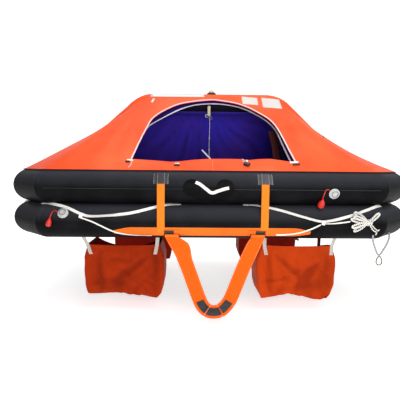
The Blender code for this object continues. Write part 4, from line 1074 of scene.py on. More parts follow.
@dataclass
class StretchedCloth:
    """A cloth stretched from the arch to the upper tube on both sides, as one sheet."""

    line: ArchLine
    name: str
    finish: Finish
    nodes: tuple[str, str]
    entrance: tuple[tuple[float, float], ...]
    sags: tuple[float, ...]
    wrap: float
    wrap_steps: int
    lift: float
    thick: float
    seam_angle: float
    seam_radius: float
    side_start: float
    rows: int
    min_rise: float
    closing: bool
    fine: int = 4
    rounds: int = 3000

    def half_grid(self) -> np.ndarray:
        """The front half, from the arch's crown down to the seam."""
        z = UPPER_Z + self.seam_radius * sin(self.seam_angle) + GAP
        base = self.line.base(self.seam_radius * cos(self.seam_angle), z, self.side_start, self.fine)
        frames = self.line.frames(self.fine)
        last = len(frames) - 1
        upper = []
        for step in range(self.wrap_steps + 1):
            row = []
            for column, (centre, normal) in enumerate(frames):
                inner = min(column, last - column) / self.fine
                turn = self.wrap * step / self.wrap_steps * (min(inner / 2, 1.0) if self.closing else 1.0)
                row.append(tuple(centre + (self.line.radius + self.lift)
                                 * (cos(turn) * normal + sin(turn) * FORWARD)))
            upper.append(row)
        upper = np.array(upper)
        rows = self.rows * self.fine
        if self.closing:
            for column in (0, last):
                for k in range(1, len(upper)):
                    share = k / (len(upper) - 1 + rows)
                    upper[k, column] = upper[0, column] * (1 - share) + base[column] * share
        grid = np.array([upper[-1] + (base - upper[-1]) * k / rows for k in range(rows + 1)])
        straight = grid.copy()
        for _ in range(self.rounds):
            grid[1:-1, 1:-1] = (grid[:-2, 1:-1] + grid[2:, 1:-1] + grid[1:-1, :-2] + grid[1:-1, 2:]) / 4
            for row in range(1, self.fine + 1):
                reach = np.linalg.norm(grid[-1 - row, 1:-1, :2] - grid[-1, 1:-1, :2], axis=1)
                least = grid[-1, 1:-1, 2] + self.min_rise * reach
                grid[-1 - row, 1:-1, 2] = np.maximum(grid[-1 - row, 1:-1, 2], least)
        side = self.line.side_columns * self.fine
        share = np.interp(np.arange(last + 1), (0, side, last - side, last), self.sags)[None, :, None]
        return np.concatenate([upper[:-1], straight + (grid - straight) * share])

    def full_grid(self) -> np.ndarray:
        """Both halves as one sheet, from the front seam over the arch to the rear seam."""
        front = self.half_grid()
        front[:, :, 1] = np.minimum(front[:, :, 1], 0.0)
        rear = front[1:].copy()
        rear[:, :, 1] *= -1
        return np.concatenate([front[::-1], rear])

    def places(self, grid: np.ndarray) -> tuple[np.ndarray, ...]:
        """Each point's X, Y and Z, its column, and its distances from a seam and an end, in coarse cells."""
        rows, columns = grid.shape[:2]
        run = np.arange(columns)[None, :] / self.fine
        from_seam = np.minimum(np.arange(rows), rows - 1 - np.arange(rows))[:, None] / self.fine
        return *np.moveaxis(grid, 2, 0), run, from_seam, np.minimum(run, run[0, -1] - run)

    def relief(self, grid: np.ndarray) -> np.ndarray:
        """Height of the cloth's wrinkles over the smooth sheet."""
        return np.zeros(grid.shape[:2])

    def shading(self, grid: np.ndarray, relief: np.ndarray) -> np.ndarray:
        """How deep in a fold each point lies, from 0 to 1, as the weight of the painted shade in its folds.
        """
        return np.clip(-relief / (4 * MM), 0, 1) * 0.32

    def outline(self, margin: float = 0.0, spacing: float = 0.012) -> list[tuple[float, float]]:
        """(x, z) points round the entrance, left foot to right foot, moved outward by a margin."""
        route = smooth_route([(x, 0, z) for x, z in self.entrance], spacing)
        return [(p.x - along.z * margin, p.z + along.x * margin) for p, along in zip(route, headings(route))]

    def sill_height(self, x: float) -> float:
        """Height of the wavy edge that the entrance has for a sill."""
        return float(np.interp(x, *SILL_WAVE))

    def entrance_cutter(self) -> Object:
        """A long block with the entrance's outline."""
        outline = self.outline()
        left, right = outline[0][0], outline[-1][0]
        outline += [(x, self.sill_height(x)) for x in np.linspace(right, left, 62)[1:-1]]
        mesh = bmesh.new()
        near = [mesh.verts.new((x, -1.2, z)) for x, z in outline]
        far = [mesh.verts.new((x, -0.02, z)) for x, z in outline]
        mesh.faces.new(near)
        mesh.faces.new(reversed(far))
        for i in range(len(outline)):
            j = (i + 1) % len(outline)
            mesh.faces.new((near[j], near[i], far[i], far[j]))
        bmesh.ops.recalc_face_normals(mesh, faces=mesh.faces)
        data = bpy.data.meshes.new("entrance_block")
        mesh.to_mesh(data)
        mesh.free()
        return placed("entrance_block", data)

    def build(self) -> Object:
        grid = self.full_grid()
        cross = np.cross(np.gradient(grid, axis=1), np.gradient(grid, axis=0))
        normals = cross / np.maximum(np.linalg.norm(cross, axis=2, keepdims=True), 1e-9)
        relief = self.relief(grid)
        made = skin(self.name, grid + normals * relief[:, :, None], self.finish, sharp=80)
        # Painted shade in the cloth's folds, for its finish
        paint_fold_shade(made, self.shading(grid, relief))
        self.surface = BVHTree.FromObject(made, bpy.context.evaluated_depsgraph_get())
        thicken(made, self.thick, 1.0)
        cutter = self.entrance_cutter()
        opening = made.modifiers.new("Entrance", "BOOLEAN")
        opening.operation = "DIFFERENCE"
        opening.solver = "EXACT"
        opening.object = cutter
        apply_modifiers(made)
        bpy.data.objects.remove(cutter, do_unlink=True)
        made.data.materials.clear()
        made.data.materials.append(self.finish.material())
        made.data.shade_smooth()
        made.data.set_sharp_from_angle(angle=radians(60))
        ride(made, *self.nodes)
        return made

    def hit(self, x: float, z: float, lift: float = 0.0, end: int = -1) -> tuple[Vector, Vector]:
        """Point over the front (-1) or rear (1) cloth where a line along Y meets it, and the normal there."""
        point, normal, _, _ = self.surface.ray_cast(Vector((x, 1.5 * end, z)), Vector((0, -end, 0)))
        if point is None:
            point, normal, _, _ = self.surface.find_nearest(Vector((x, 0.6 * end, z)))
        normal = normal if normal.y * end > 0 else -normal
        return point + normal * (self.thick + lift), normal

    def bind_entrance(self, name: str, margin: float, width: float) -> None:
        """The white bound edge round the entrance."""
        spots = [self.hit(x, max(z, self.sill_height(x)), 1.2 * MM) for x, z in self.outline(margin)]
        made = strap(name, [p for p, _ in spots], [n for _, n in spots], width, 2.4 * MM, TRIM_WHITE)
        ride(made)


@dataclass
class Canopy(StretchedCloth):
    """The orange canopy with its trims, patches and lookout sleeve."""

    name: str = "canopy_cloth"
    finish: Finish = CANOPY_ORANGE
    nodes: tuple[str, str] = ("canopy_front", "canopy_rear")
    entrance: tuple[tuple[float, float], ...] = CANOPY_ENTRANCE
    sags: tuple[float, ...] = CANOPY_SAGS
    wrap: float = radians(58)
    wrap_steps: int = 12
    lift: float = 8 * MM
    thick: float = 6 * MM
    seam_angle: float = radians(67.5)
    seam_radius: float = TUBE_RADIUS
    side_start: float = 0.0
    rows: int = 7
    min_rise: float = 0.32
    closing: bool = True
    # Creases that fan from the bends: side, X of the bend, count, height, distance from it
    fans: tuple = ((-1, 0.55, 19, 4.0 * MM, 0.32), (1, 0.60, 15, 2.0 * MM, 0.30))
    fan_z: float = 0.98
    patches: tuple = (
        ("canopy_patch_left", ((0.279, 0.945), (0.410, 0.936), (0.414, 1.010), (0.280, 1.020)), PATCH_WHITE),
        ("canopy_patch_right", ((0.446, 0.915), (0.610, 0.906), (0.604, 0.999), (0.449, 1.012)), PATCH_WHITE),
        ("ridge_strip", ((-0.50, 1.010), (-0.04, 1.012), (-0.04, 1.042), (-0.50, 1.040)), TAPE_SILVER),
        ("canopy_tag", ((-0.490, 0.950), (-0.471, 0.950), (-0.458, 0.990), (-0.476, 0.990)), PATCH_WHITE),
        ("canopy_mark", ((0.874, 0.652), (0.902, 0.652), (0.902, 0.672), (0.874, 0.672)), PATCH_GREY))
    # The rear reflectors: place in X, half width, lower and upper edge
    reflector: tuple[float, float, float, float] = (0.42, 0.06, 0.80, 0.84)
    # The lookout sleeve: its height, its lean, its tie's (radius, place) and (radius, place, pleat) along it
    lookout_z: float = 0.70
    lookout_sag: float = 0.55
    lookout_neck: tuple[float, float] = (0.034, 0.112)
    lookout_profile: tuple = (
        (0.150, 0.0, 0.0), (0.149, 0.006, 0.004), (0.140, 0.012, 0.008), (0.118, 0.030, 0.03),
        (0.090, 0.058, 0.06), (0.058, 0.088, 0.10), (0.036, 0.106, 0.14), (0.030, 0.114, 0.14),
        (0.036, 0.124, 0.16), (0.050, 0.145, 0.18), (0.056, 0.160, 0.18), (0.050, 0.161, 0.18))
    lookout_pleats: int = 14

    def relief(self, grid: np.ndarray) -> np.ndarray:
        """Creases: puckers along both seams, a fan from each bend and soft folds over the rest."""
        x, y, z, run, from_seam, inner = self.places(grid)
        relief = 1.5 * MM * np.sin(run * 7.3 + 1.3 * np.sin(run * 1.7)) * np.exp(-from_seam / 0.7)
        soft = 1.8 * MM * np.sin(x * 9 + z * 14 + np.sin(y * 6) * 1.5) * np.sin(z * 11 - x * 5 + 0.7)
        for side, bend, count, height, reach in self.fans:
            away = np.hypot(x - side * bend, z - self.fan_z)
            turn = np.arctan2(z - self.fan_z, x - side * bend)
            soft += height * np.sin(turn * count + 2.0 * np.sin(away * 5)) \
                * np.exp(-((away - reach) / 0.24) ** 2) * (side * x > 0.5)
        relief = relief + soft * np.clip(from_seam / 1.5, 0, 1) * np.clip(inner / 2, 0, 1)
        relief = relief * (1 - 0.85 * np.clip((from_seam - self.rows) / self.wrap_steps * self.fine, 0, 1))
        relief[0] = relief[-1] = 0
        return relief

    def seam_welt(self) -> None:
        """The dark red welt where the canopy meets the upper tube, and the sill's hem in the canopy's own
        cloth.
        """
        radius = TUBE_RADIUS * cos(self.seam_angle)
        z = UPPER_Z + TUBE_RADIUS * sin(self.seam_angle) + GAP
        points = [Vector((*p, z + 2.5 * MM)) for p in octagon(radius + self.thick + 2.0 * MM)]
        line = spread(points + points[:1], 0.02)[:-1]
        # The welt's dark red is glue tape darkened with painted shadow under the canopy's edge
        ride(tube("canopy_welt", line, 3.2 * MM, MAROON_SHADE, sides=8, closed=True))
        (left, sill), right = self.entrance[0], self.entrance[-1][0]
        path = [self.hit(x, self.sill_height(x) - 2 * MM, -self.thick / 2)[0]
                for x in np.linspace(left, right, 120)]
        ride(tube("sill_hem", path, 5 * MM, self.finish, sides=10))
        seam = [[self.hit(0.0, z, 0.4 * MM)[0] for z in np.linspace(sill - 4 * MM, 0.40, 12)]]
        ride(StitchLine().sew("sill_stitches", seam, THREAD_PALE))

    def patch(self, name: str, corners: tuple, finish: Finish, end: int = -1) -> None:
        """A thin cloth patch on the canopy's front or rear: four (x, z) corners, seen from there or not."""
        a, b, c, d = [Vector(p) for p in corners]
        grid = []
        for v in np.linspace(0, 1, 10):
            row = [self.hit(*a.lerp(d, v).lerp(b.lerp(c, v), u), 0.8 * MM, end)[0]
                   for u in np.linspace(0, 1, 16)]
            grid.append([tuple(p) for p in row])
        made = skin(name, np.array(grid), finish, sharp=60)
        thicken(made, 1 * MM)
        apply_modifiers(made)
        ride(made)

    def dress(self) -> None:
        """The patches, the reflective strips and the lookout sleeve."""
        for name, corners, finish in self.patches:
            self.patch(name, corners, finish)
        middle, half, low, high = self.reflector
        for name, sign in SIDES:
            left, right = sign * middle - half, sign * middle + half
            self.patch(f"rear_reflector_{name}", ((left, low), (right, low), (right, high), (left, high)),
                       TAPE_SILVER, 1)
        self.lookout()

    def lookout(self) -> None:
        """The lookout sleeve in the canopy's rear: a short gathered sleeve, tied shut."""
        foot, normal = self.hit(0.0, self.lookout_z, -2 * MM, 1)
        up = normal.cross(ACROSS).normalized()
        way = (normal + Vector((0, 0, -self.lookout_sag))).normalized()
        rows = []
        for radius, height, pleat in self.lookout_profile:
            rows.append([tuple(foot + way * height + (ACROSS * cos(a) + up * sin(a))
                               * radius * (1 + pleat * cos(self.lookout_pleats * a)))
                         for a in full_turn(112)])
        sleeve = loft("lookout_sleeve", rows, self.finish, 60)
        # Painted shade in the pleats' hollows
        paint_fold_shade(sleeve, np.array([[0.5 * min(pleat * 8, 1) * (1 - cos(self.lookout_pleats * a)) / 2
                                      for a in full_turn(112)]
                                     for _, _, pleat in self.lookout_profile]))
        ride(sleeve)
        neck, height = self.lookout_neck
        tie = [foot + way * (height + 4 * MM * cos(a)) + (ACROSS * cos(a) + up * sin(a)) * neck
               for a in full_turn(48)]
        ride(tube("lookout_tie", tie, 3 * MM, ROPE_WHITE, 8, closed=True))

    def build(self) -> Object:
        """Build the cloth and all that is sewn to it."""
        made = super().build()
        self.bind_entrance("entrance_trim", 4 * MM, 10 * MM)
        self.seam_welt()
        self.dress()
        return made


@dataclass
class Liner(StretchedCloth):
    """The blue inner cloth with its own trimmed entrance."""

    name: str = "liner_cloth"
    finish: Finish = LINER_BLUE
    nodes: tuple[str, str] = ("liner_front", "liner_rear")
    entrance: tuple[tuple[float, float], ...] = LINER_ENTRANCE
    sags: tuple[float, ...] = LINER_SAGS
    wrap: float = radians(80)
    wrap_steps: int = 8
    lift: float = GAP
    thick: float = 3 * MM
    seam_angle: float = radians(105)
    seam_radius: float = TUBE_FLAT
    side_start: float = 0.095
    rows: int = 6
    min_rise: float = 0.0
    closing: bool = False
    # Where its folds, and the painted crease lines under the lamp, spread from
    fan_x: float = 0.02
    fan_z: float = 0.98
    fold_z: float = 1.05

    def relief(self, grid: np.ndarray) -> np.ndarray:
        """Soft folds that hang from the arch."""
        x, _, z, run, from_seam, inner = self.places(grid)
        turn = np.arctan2(z - self.fold_z, x - self.fan_x)
        away = np.hypot(x - self.fan_x, z - self.fold_z)
        folds = 6.5 * MM * np.sin(turn * 17 + 1.5 * np.sin(away * 7)) * np.clip((away - 0.1) / 0.3, 0, 1)
        pucker = 1.5 * MM * np.sin(run * 5.1) * np.exp(-from_seam / 0.8)
        fade = np.clip(from_seam / 1.2, 0, 1) * np.clip(inner / 1.5, 0, 1)
        over_arch = np.clip((from_seam - self.rows) / max(self.wrap_steps, 1) * self.fine, 0, 1)
        relief = (np.minimum(pucker, 0) - np.abs(folds) * fade) * (1 - over_arch)
        relief[0] = relief[-1] = 0
        return relief

    def shading(self, grid: np.ndarray, relief: np.ndarray) -> np.ndarray:
        """Painted shade: thin dark crease lines that spread from under the lamp, and shade in the soft folds.
        """
        x, z = grid[:, :, 0], grid[:, :, 2]
        away = np.hypot(x - self.fan_x, z - self.fan_z)
        turn = np.arctan2(z - self.fan_z, x - self.fan_x)
        lines = (1 - np.abs(np.sin(turn * 8.5 + 0.9 * np.sin(away * 9)))) ** 5
        return 0.40 * lines * np.clip((away - 0.08) / 0.2, 0, 1) - relief / (32 * MM)

    def build(self) -> Object:
        """Build the liner and its trim."""
        made = super().build()
        # Faces that point away from the cabin take the darker copy: painted shade from the canopy
        made.data.materials.append(LINER_SHADED.material())
        for face in made.data.polygons:
            face.material_index = int(face.normal.dot(face.center - Vector((0, 0, 0.5))) > 0)
        self.bind_entrance("liner_trim", 3 * MM, 12 * MM)
        return made


@dataclass
class FrontWebbing:
    """The band, two upright straps and the patches over their upper ends."""

    strap_x: float = 0.343
    width: float = 50 * MM
    thick: float = 3 * MM
    lift: float = 2.1 * MM
    top_angle: float = 37.5
    end_angle: float = -37.5
    patch_half: float = 50 * MM
    patch_angles: tuple[float, float] = (12.0, 50.0)
    patch_thick: float = 1.5 * MM
    band_half: float = 0.655
    band_angles: tuple[float, float] = (-50, -15)

    def wrapped(self, name: str, x: tuple, angles: tuple, axis_z: float, finish: Finish, taper: float = 0.0,
                over: float = 0.0) -> Object:
        """A flat patch or band that lies round the front of a tube.

        Args:
            name: the piece's name.
            x: its two ends in X.
            angles: its two edges, in degrees round the tube.
            axis_z: height of the tube's axis.
            finish: what it is made of.
            taper: length at each end over which its width narrows.
            over: height of the strap that it lies over, at its middle.

        Returns:
            The finished object.
        """
        low, high = (radians(a) for a in angles)
        middle, half = (low + high) / 2, (high - low) / 2
        rows = []
        for u in [x[0], x[0] + 2 * MM, *np.linspace(x[0] + 6 * MM, x[1] - 6 * MM, 40), x[1] - 2 * MM, x[1]]:
            edge = min(u - x[0], x[1] - u)
            narrow = 0.35 + 0.65 * min(1, edge / taper) if taper else 1.0
            away = abs(u - (x[0] + x[1]) / 2) - self.width / 2
            foot = GAP + over * min(1.0, max(0.0, 1 - away / (9 * MM)))
            rise = self.patch_thick * (1.0 if edge > 1 * MM else 0.4)
            shares = [-1, -0.97, *np.linspace(-0.9, 0.9, 12), 0.97, 1]
            out = [tuple(over_tube(u, axis_z, middle + half * narrow * s,
                                   foot + (rise if abs(s) < 0.99 else 0.4 * rise))) for s in shares]
            rows.append(out + [tuple(over_tube(u, axis_z, middle + half * narrow * s, foot))
                               for s in reversed(shares)])
        return loft(name, rows, finish)

    def build(self) -> None:
        """Build the webbing and put it in place."""
        band = self.wrapped("front_band_cloth", (-self.band_half, self.band_half), self.band_angles,
                            LOWER_Z, WEB_ORANGE_FLAT, taper=90 * MM)
        ride(band, "front_band")
        seams = []
        for name, sign in SIDES:
            x = sign * self.strap_x
            patch = self.wrapped(f"strap_patch_{name}_cloth", (x - self.patch_half, x + self.patch_half),
                                 self.patch_angles, UPPER_Z, PATCH_GREY,
                                 over=self.lift + self.thick + 0.4 * MM)
            ride(patch, f"strap_patch_{name}")
            points, faces = [], []
            for axis_z, high, low in ((UPPER_Z, self.top_angle, 0.0), (LOWER_Z, 0.0, self.end_angle)):
                for angle in np.radians(np.linspace(high, low, 14)):
                    points.append(over_tube(x, axis_z, angle, self.lift + self.thick / 2))
                    faces.append(out_of_tube(angle))
            made = strap(f"strap_{name}_web", points, faces, self.width, self.thick, WEB_ORANGE)
            ride(made, f"strap_{name}")
            low, high = self.patch_angles
            seams += [[over_tube(x + side * u, UPPER_Z, angle, rise)
                       for angle in np.radians(np.linspace(low + 1, high - 1, 10))]
                      for side in (-1, 1) for u, rise in ((self.patch_half - 4 * MM, 2 * MM),
                                                          (self.width / 2 - 2 * MM, 7.4 * MM))]
        ride(StitchLine().sew("strap_stitches", seams, THREAD_PALE))


@dataclass
class GrabHandle:
    """The white webbing handle between two round patches on the upper tube."""

    x: float = -0.030
    spacing: float = 0.108
    radius: float = 0.060
    web_width: float = 21 * MM
    web_thick: float = 3 * MM
    route: tuple = ((-0.116, 0.038, 0.0), (-0.085, 0.022, 8.0), (-0.045, -0.006, 15.0),
                    (-0.010, -0.026, 17.0), (0.030, -0.016, 15.0), (0.070, -0.005, 8.0), (0.103, 0.002, 0.0))
    patch_thick: float = 1.5 * MM

    def round_patch(self, name: str, x: float) -> Object:
        """A round coated patch glued on the tube."""
        rows = []
        rings = [0.02, 0.3, 0.6, 0.85, 0.97, 1.0, 1.0, 0.97, 0.85, 0.6, 0.3, 0.02]
        lifts = [1, 1, 1, 1, 0.95, 0.45, 0, 0, 0, 0, 0, 0]
        for share, lift in zip(rings, lifts):
            reach = self.radius * share
            rows.append([tuple(over_tube(x + reach * cos(turn), UPPER_Z,
                                         reach * sin(turn) / TUBE_RADIUS, GAP + self.patch_thick * lift))
                         for turn in full_turn(40)])
        return loft(name, rows, PATCH_BLACK)

    def build(self) -> None:
        """Build the handle and its patches. The route is (x, height on the tube, millimetres off it)."""
        for name, sign in SIDES:
            ride(self.round_patch(f"handle_patch_{name}_cloth", self.x + sign * self.spacing),
                 f"handle_patch_{name}")
        rest = 2 * GAP + self.patch_thick + self.web_thick / 2
        points, faces = [], []
        for x, level, off in smooth_route([(x, level, off * MM) for x, level, off in self.route], 0.004):
            angle = asin(level / (TUBE_RADIUS + rest))
            points.append(over_tube(x, UPPER_Z, angle, rest + max(off, 0)))
            faces.append(out_of_tube(angle))
        made = strap("grab_handle_web", points, faces, self.web_width, self.web_thick, WEB_WHITE)
        ride(made, "grab_handle")


@dataclass
class StirrupBuckles:
    """The two buckles on the lower tube, with the bars that the stirrup hangs on."""

    spacing: float = 0.286
    bar_radius: float = 5 * MM
    sleeve_half: float = 45 * MM
    ear_play: float = 0.6 * MM
    ear_thick: float = 6 * MM
    ear_reach: float = 11 * MM
    plate: tuple[float, float, float] = (0.120, 0.004, 0.030)
    cover: tuple[float, float, float] = (0.064, 0.008, 0.028)
    cover_shift: float = -18 * MM
    facet: float = radians(-30)

    def build(self) -> None:
        """Build both buckles."""
        lift = FrontWebbing.lift + FrontWebbing.thick + GAP + self.plate[1] / 2
        normal = out_of_tube(self.facet)
        outward_way = out_of_tube(BAR_ANGLE)
        turn = Matrix.Rotation(-self.facet, 3, "X")
        ear_turn = Matrix.Rotation(-BAR_ANGLE, 3, "X")
        for name, sign in SIDES:
            middle = STIRRUP_AXIS.x + sign * self.spacing
            seat = Vector((middle, -RING_HALF_Y, LOWER_Z)) + normal * (TUBE_FLAT + lift)
            ride(block(f"buckle_{name}_backing", seat, self.plate, turn, 1.2 * MM, WEB_ORANGE_FLAT))
            cover = seat + normal * 3 * MM - Vector((sign * self.cover_shift, 0, 0))
            pieces = [block(f"buckle_{name}_cover", cover, self.cover, turn, 2.5 * MM, NYLON_BLACK)]
            reach = BAR_LIFT - lift + self.ear_reach / 2
            ear_x = self.sleeve_half + self.ear_play + self.ear_thick / 2
            for shift in (-ear_x, ear_x):
                centre = Vector((middle + shift, STIRRUP_AXIS.y, STIRRUP_AXIS.z)) \
                    - outward_way * (reach - self.ear_reach) / 2
                pieces.append(block(f"buckle_{name}_ear", centre, (self.ear_thick, reach, self.ear_reach),
                                    ear_turn, 1.5 * MM, NYLON_BLACK))
            made = merged(f"buckle_{name}_body", pieces)
            ride(made, f"buckle_{name}")
            start = Vector((middle - ear_x - 1 * MM, STIRRUP_AXIS.y, STIRRUP_AXIS.z))
            length = 2 * ear_x + 2 * MM
            bar = lathe(f"buckle_{name}_bar", [(0.6 * self.bar_radius, 0), (self.bar_radius, 1 * MM),
                                               (self.bar_radius, length - 1 * MM),
                                               (0.6 * self.bar_radius, length)],
                        start, ACROSS, STEEL, 20)
            ride(bar)


@dataclass
class BoardingStirrup:
    """The webbing loop that people climb in by. It hangs face-on, with three ribbed pads on its front."""

    spacing: float = StirrupBuckles.spacing
    sleeve_inner: float = 6.5 * MM
    sleeve_outer: float = 9.5 * MM
    sleeve_half: float = StirrupBuckles.sleeve_half
    top_drop: float = 8.5 * MM
    left_leg: tuple = ((-0.225, -0.110), (-0.175, -0.225), (-0.137, -0.330), (-0.104, -0.420),
                       (-0.078, -0.475), (-0.042, -0.510))
    right_leg: tuple = ((0.050, -0.505), (0.098, -0.450), (0.128, -0.385), (0.160, -0.300),
                        (0.197, -0.205), (0.235, -0.115))
    tread_drop: float = 0.519
    fold_drop: float = 0.070
    width: float = 95 * MM
    flare: float = 20 * MM
    flare_drop: float = 0.088
    flare_reach: float = 0.06
    thick: float = 4 * MM
    pad_thick: float = 6 * MM
    pad_width: float = 54 * MM
    pad_lift: float = 0.8 * MM
    pad_spans: tuple = (("left", -0.131, -0.051), ("middle", -0.043, 0.043), ("right", 0.051, 0.131))
    rib: float = 5.5 * MM
    step: float = 8 * MM

    def frames(self) -> tuple[list[Vector], list[Vector], list[float]]:
        """Centre points, side vectors and widths, from the left buckle round to the right one."""
        route = [(-self.spacing, -self.top_drop), *self.left_leg, (0.0, -self.tread_drop), *self.right_leg,
                 (self.spacing, -self.top_drop)]
        points = smooth_route([STIRRUP_AXIS + Vector((x, 0, z)) for x, z in route], self.step)
        sides, widths = [], []
        for k, (point, along) in enumerate(zip(points, headings(points))):
            share = min(max(STIRRUP_AXIS.z - point.z - self.top_drop, 0) / self.fold_drop, 1)
            along_bar = Vector((1 if k < (len(points) - 1) / 2 else -1, 0, 0))
            sides.append(along_bar.lerp(FORWARD.cross(along), share).normalized())
            below = STIRRUP_AXIS.z - point.z - self.flare_drop
            flare = self.flare * exp(-(below / self.flare_reach) ** 2) * (along_bar.x > 0)
            widths.append(2 * self.sleeve_half * (1 - share) + self.width * share + flare)
            point.x += 0.8 * flare
        return points, sides, widths

    def build(self) -> None:
        """Build the webbing, its sleeves, pads and stitches."""
        points, sides, widths = self.frames()
        count = len(points)
        web = strap("stirrup_web", points, [FORWARD] * count, widths, self.thick, WEB_DEEP, sides)
        ride(web, "stirrup_webbing", body=Body.STIRRUP)
        for name, sign in SIDES:
            start = STIRRUP_AXIS + Vector((sign * self.spacing - self.sleeve_half, 0, 0))
            length = 2 * self.sleeve_half
            sleeve = lathe(f"stirrup_sleeve_{name}",
                           [(self.sleeve_outer - 0.8 * MM, 0), (self.sleeve_outer, 0.8 * MM),
                            (self.sleeve_outer, length - 0.8 * MM), (self.sleeve_outer - 0.8 * MM, length),
                            (self.sleeve_inner, length), (self.sleeve_inner, 0)],
                           start, ACROSS, WEB_ORANGE_FLAT, 28, ring=True)
            ride(sleeve, body=Body.STIRRUP)
        for name, low, high in self.pad_spans:
            ride(self.pad(name, points, sides, low, high), f"step_pad_{name}", body=Body.STIRRUP)
        rise = FORWARD * (self.thick / 2 + 0.2 * MM)
        edges = [[points[k] + sides[k] * (edge * (widths[k] / 2 - 5 * MM)) + lean * rise
                  for k in range(4, count - 4)] for edge in (-1, 1) for lean in (-1, 1)]
        ride(StitchLine().sew("stirrup_stitches", edges, THREAD_ORANGE), body=Body.STIRRUP)
        crosses = []
        for mark in (-0.047, 0.047):
            k = int((count - 1) / 2 + mark / self.step)
            reach = sides[k] * (self.width / 2 - 6 * MM)
            crosses.append([points[k] + reach * t + rise * 1.3 for t in np.linspace(-1, 1, 12)])
        ride(StitchLine(radius=1.3 * MM).sew("pad_stitches", crosses, THREAD_PALE), body=Body.STIRRUP)

    def pad(self, name: str, points: list[Vector], sides: list[Vector], low: float, high: float) -> Object:
        """One ribbed rubber pad on the front of the webbing, between two distances from its middle."""
        middle = (len(points) - 1) / 2
        count = 2 * max(4, int((high - low) / self.rib))
        rows = []
        for k in range(count + 1):
            place = middle + (low + (high - low) * k / count) / self.step
            i, share = int(place), place % 1
            side = sides[i].lerp(sides[i + 1], share).normalized() * (self.pad_width / 2)
            point = points[i].lerp(points[i + 1], share) + FORWARD * (self.thick / 2 + self.pad_lift)
            rise = self.pad_thick * (0.5 if k in (0, count) else 0.72 + 0.28 * (k % 2))
            top = [point + side * s + FORWARD * (rise if abs(s) < 0.95 else 0.6 * rise)
                   for s in (-1, -0.96, -0.88, -0.45, 0, 0.45, 0.88, 0.96, 1)]
            rows.append([tuple(p) for p in top + [point + side * s for s in (1, 0.5, 0, -0.5, -1)]])
        return loft(f"step_pad_{name}_rubber", rows, PAD_BLACK, 35)


@dataclass
class Valves:
    """Two inflation valves and their loose caps on lanyards."""

    flange: float = 35 * MM
    thick: float = 7 * MM
    body: float = 24 * MM
    height: float = 12 * MM
    lanyard: float = 3 * MM

    def valve(self, name: str, x: float, axis_z: float, angle: float) -> None:
        """A threaded valve body in its flange, with a grey seal in it."""
        way = out_of_tube(angle)
        foot = Vector((x, -RING_HALF_Y, axis_z)) + way * (TUBE_FLAT + GAP)
        top = self.thick + self.height
        profile = [(self.flange * 0.9, 0), (self.flange, 1.5 * MM), (self.flange, 4 * MM),
                   (self.flange * 0.95, 6 * MM), (self.flange * 0.86, self.thick),
                   (self.body + 2.5 * MM, self.thick), (self.body + 0.5 * MM, self.thick + 1.5 * MM)]
        for k in range(4):
            level = self.thick + 2.2 * MM + k * 2.2 * MM
            profile += [(self.body, level), (self.body - 1.1 * MM, level + 1.1 * MM)]
        profile += [(self.body - 1 * MM, top - 1 * MM), (self.body - 2.5 * MM, top),
                    (self.body - 6 * MM, top), (self.body - 7 * MM, top - 7 * MM),
                    (6 * MM, top - 7.5 * MM), (5 * MM, top - 4 * MM), (1 * MM, top - 3.5 * MM)]
        ride(lathe(f"{name}_body", profile, foot, way, VALVE_WHITE, 48), name)
        ring = [(self.body - 2.6 * MM, top), (self.body - 3.2 * MM, top + 1.4 * MM),
                (self.body - 5.4 * MM, top + 1.4 * MM), (self.body - 5.9 * MM, top)]
        ride(lathe(f"{name}_seal", ring, foot, way, PATCH_GREY, 40, ring=True))

    def cap(self, name: str, axis_z: float, foot: tuple, top: tuple, radius: float, route: list) -> None:
        """A ribbed rubber cap that hangs on its lanyard, against the tube. Places are (x, height)."""
        angle = asin((foot[1] + top[1] - 2 * axis_z) / 2 / (TUBE_RADIUS + radius))
        rest = radius + GAP
        low, high = [over_tube(x, axis_z, angle, rest) + Vector((0, sin(angle), cos(angle)))
                     * ((z - (foot[1] + top[1]) / 2) / cos(angle)) for x, z in (foot, top)]
        profile = [(r * radius, h * (high - low).length) for r, h in (
            (0.06, 0), (0.60, 0.01), (0.80, 0.06), (0.92, 0.14), (0.88, 0.17), (0.98, 0.23), (0.93, 0.28),
            (1.0, 0.34), (0.94, 0.40), (0.97, 0.46), (0.86, 0.53), (0.84, 0.60), (0.64, 0.70), (0.42, 0.82),
            (0.28, 0.95), (0.10, 1.0))]
        ride(lathe(f"{name}_rubber", profile, low, high - low, CAP_RED, 36), name)
        points = [over_tube(p.x, axis_z, asin(max(-1, min(1, (p.z - axis_z) / (TUBE_RADIUS + 4 * MM)))),
                            self.lanyard + p.y)
                  for p in smooth_route([(x, lift, z) for x, z, lift in route], 0.006)]
        ride(tube(f"{name}_lanyard", points, self.lanyard, CAP_RED, 10))

    def build(self) -> None:
        """Build both valves and both caps."""
        near, off = 1 * MM, 15 * MM
        self.valve("valve_left", -0.985, LOWER_Z, radians(30))
        self.valve("valve_right", 0.800, UPPER_Z, radians(-15))
        self.cap("cap_left", LOWER_Z, (-1.073, 0.032), (-1.060, 0.090), 18 * MM,
                 [(-1.060, 0.086, off), (-1.052, 0.112, off), (-1.040, 0.132, near), (-1.022, 0.122, near)])
        self.cap("cap_right", UPPER_Z, (0.722, 0.166), (0.722, 0.220), 23 * MM,
                 [(0.722, 0.214, off), (0.724, 0.240, off), (0.742, 0.280, near), (0.765, 0.284, near)])


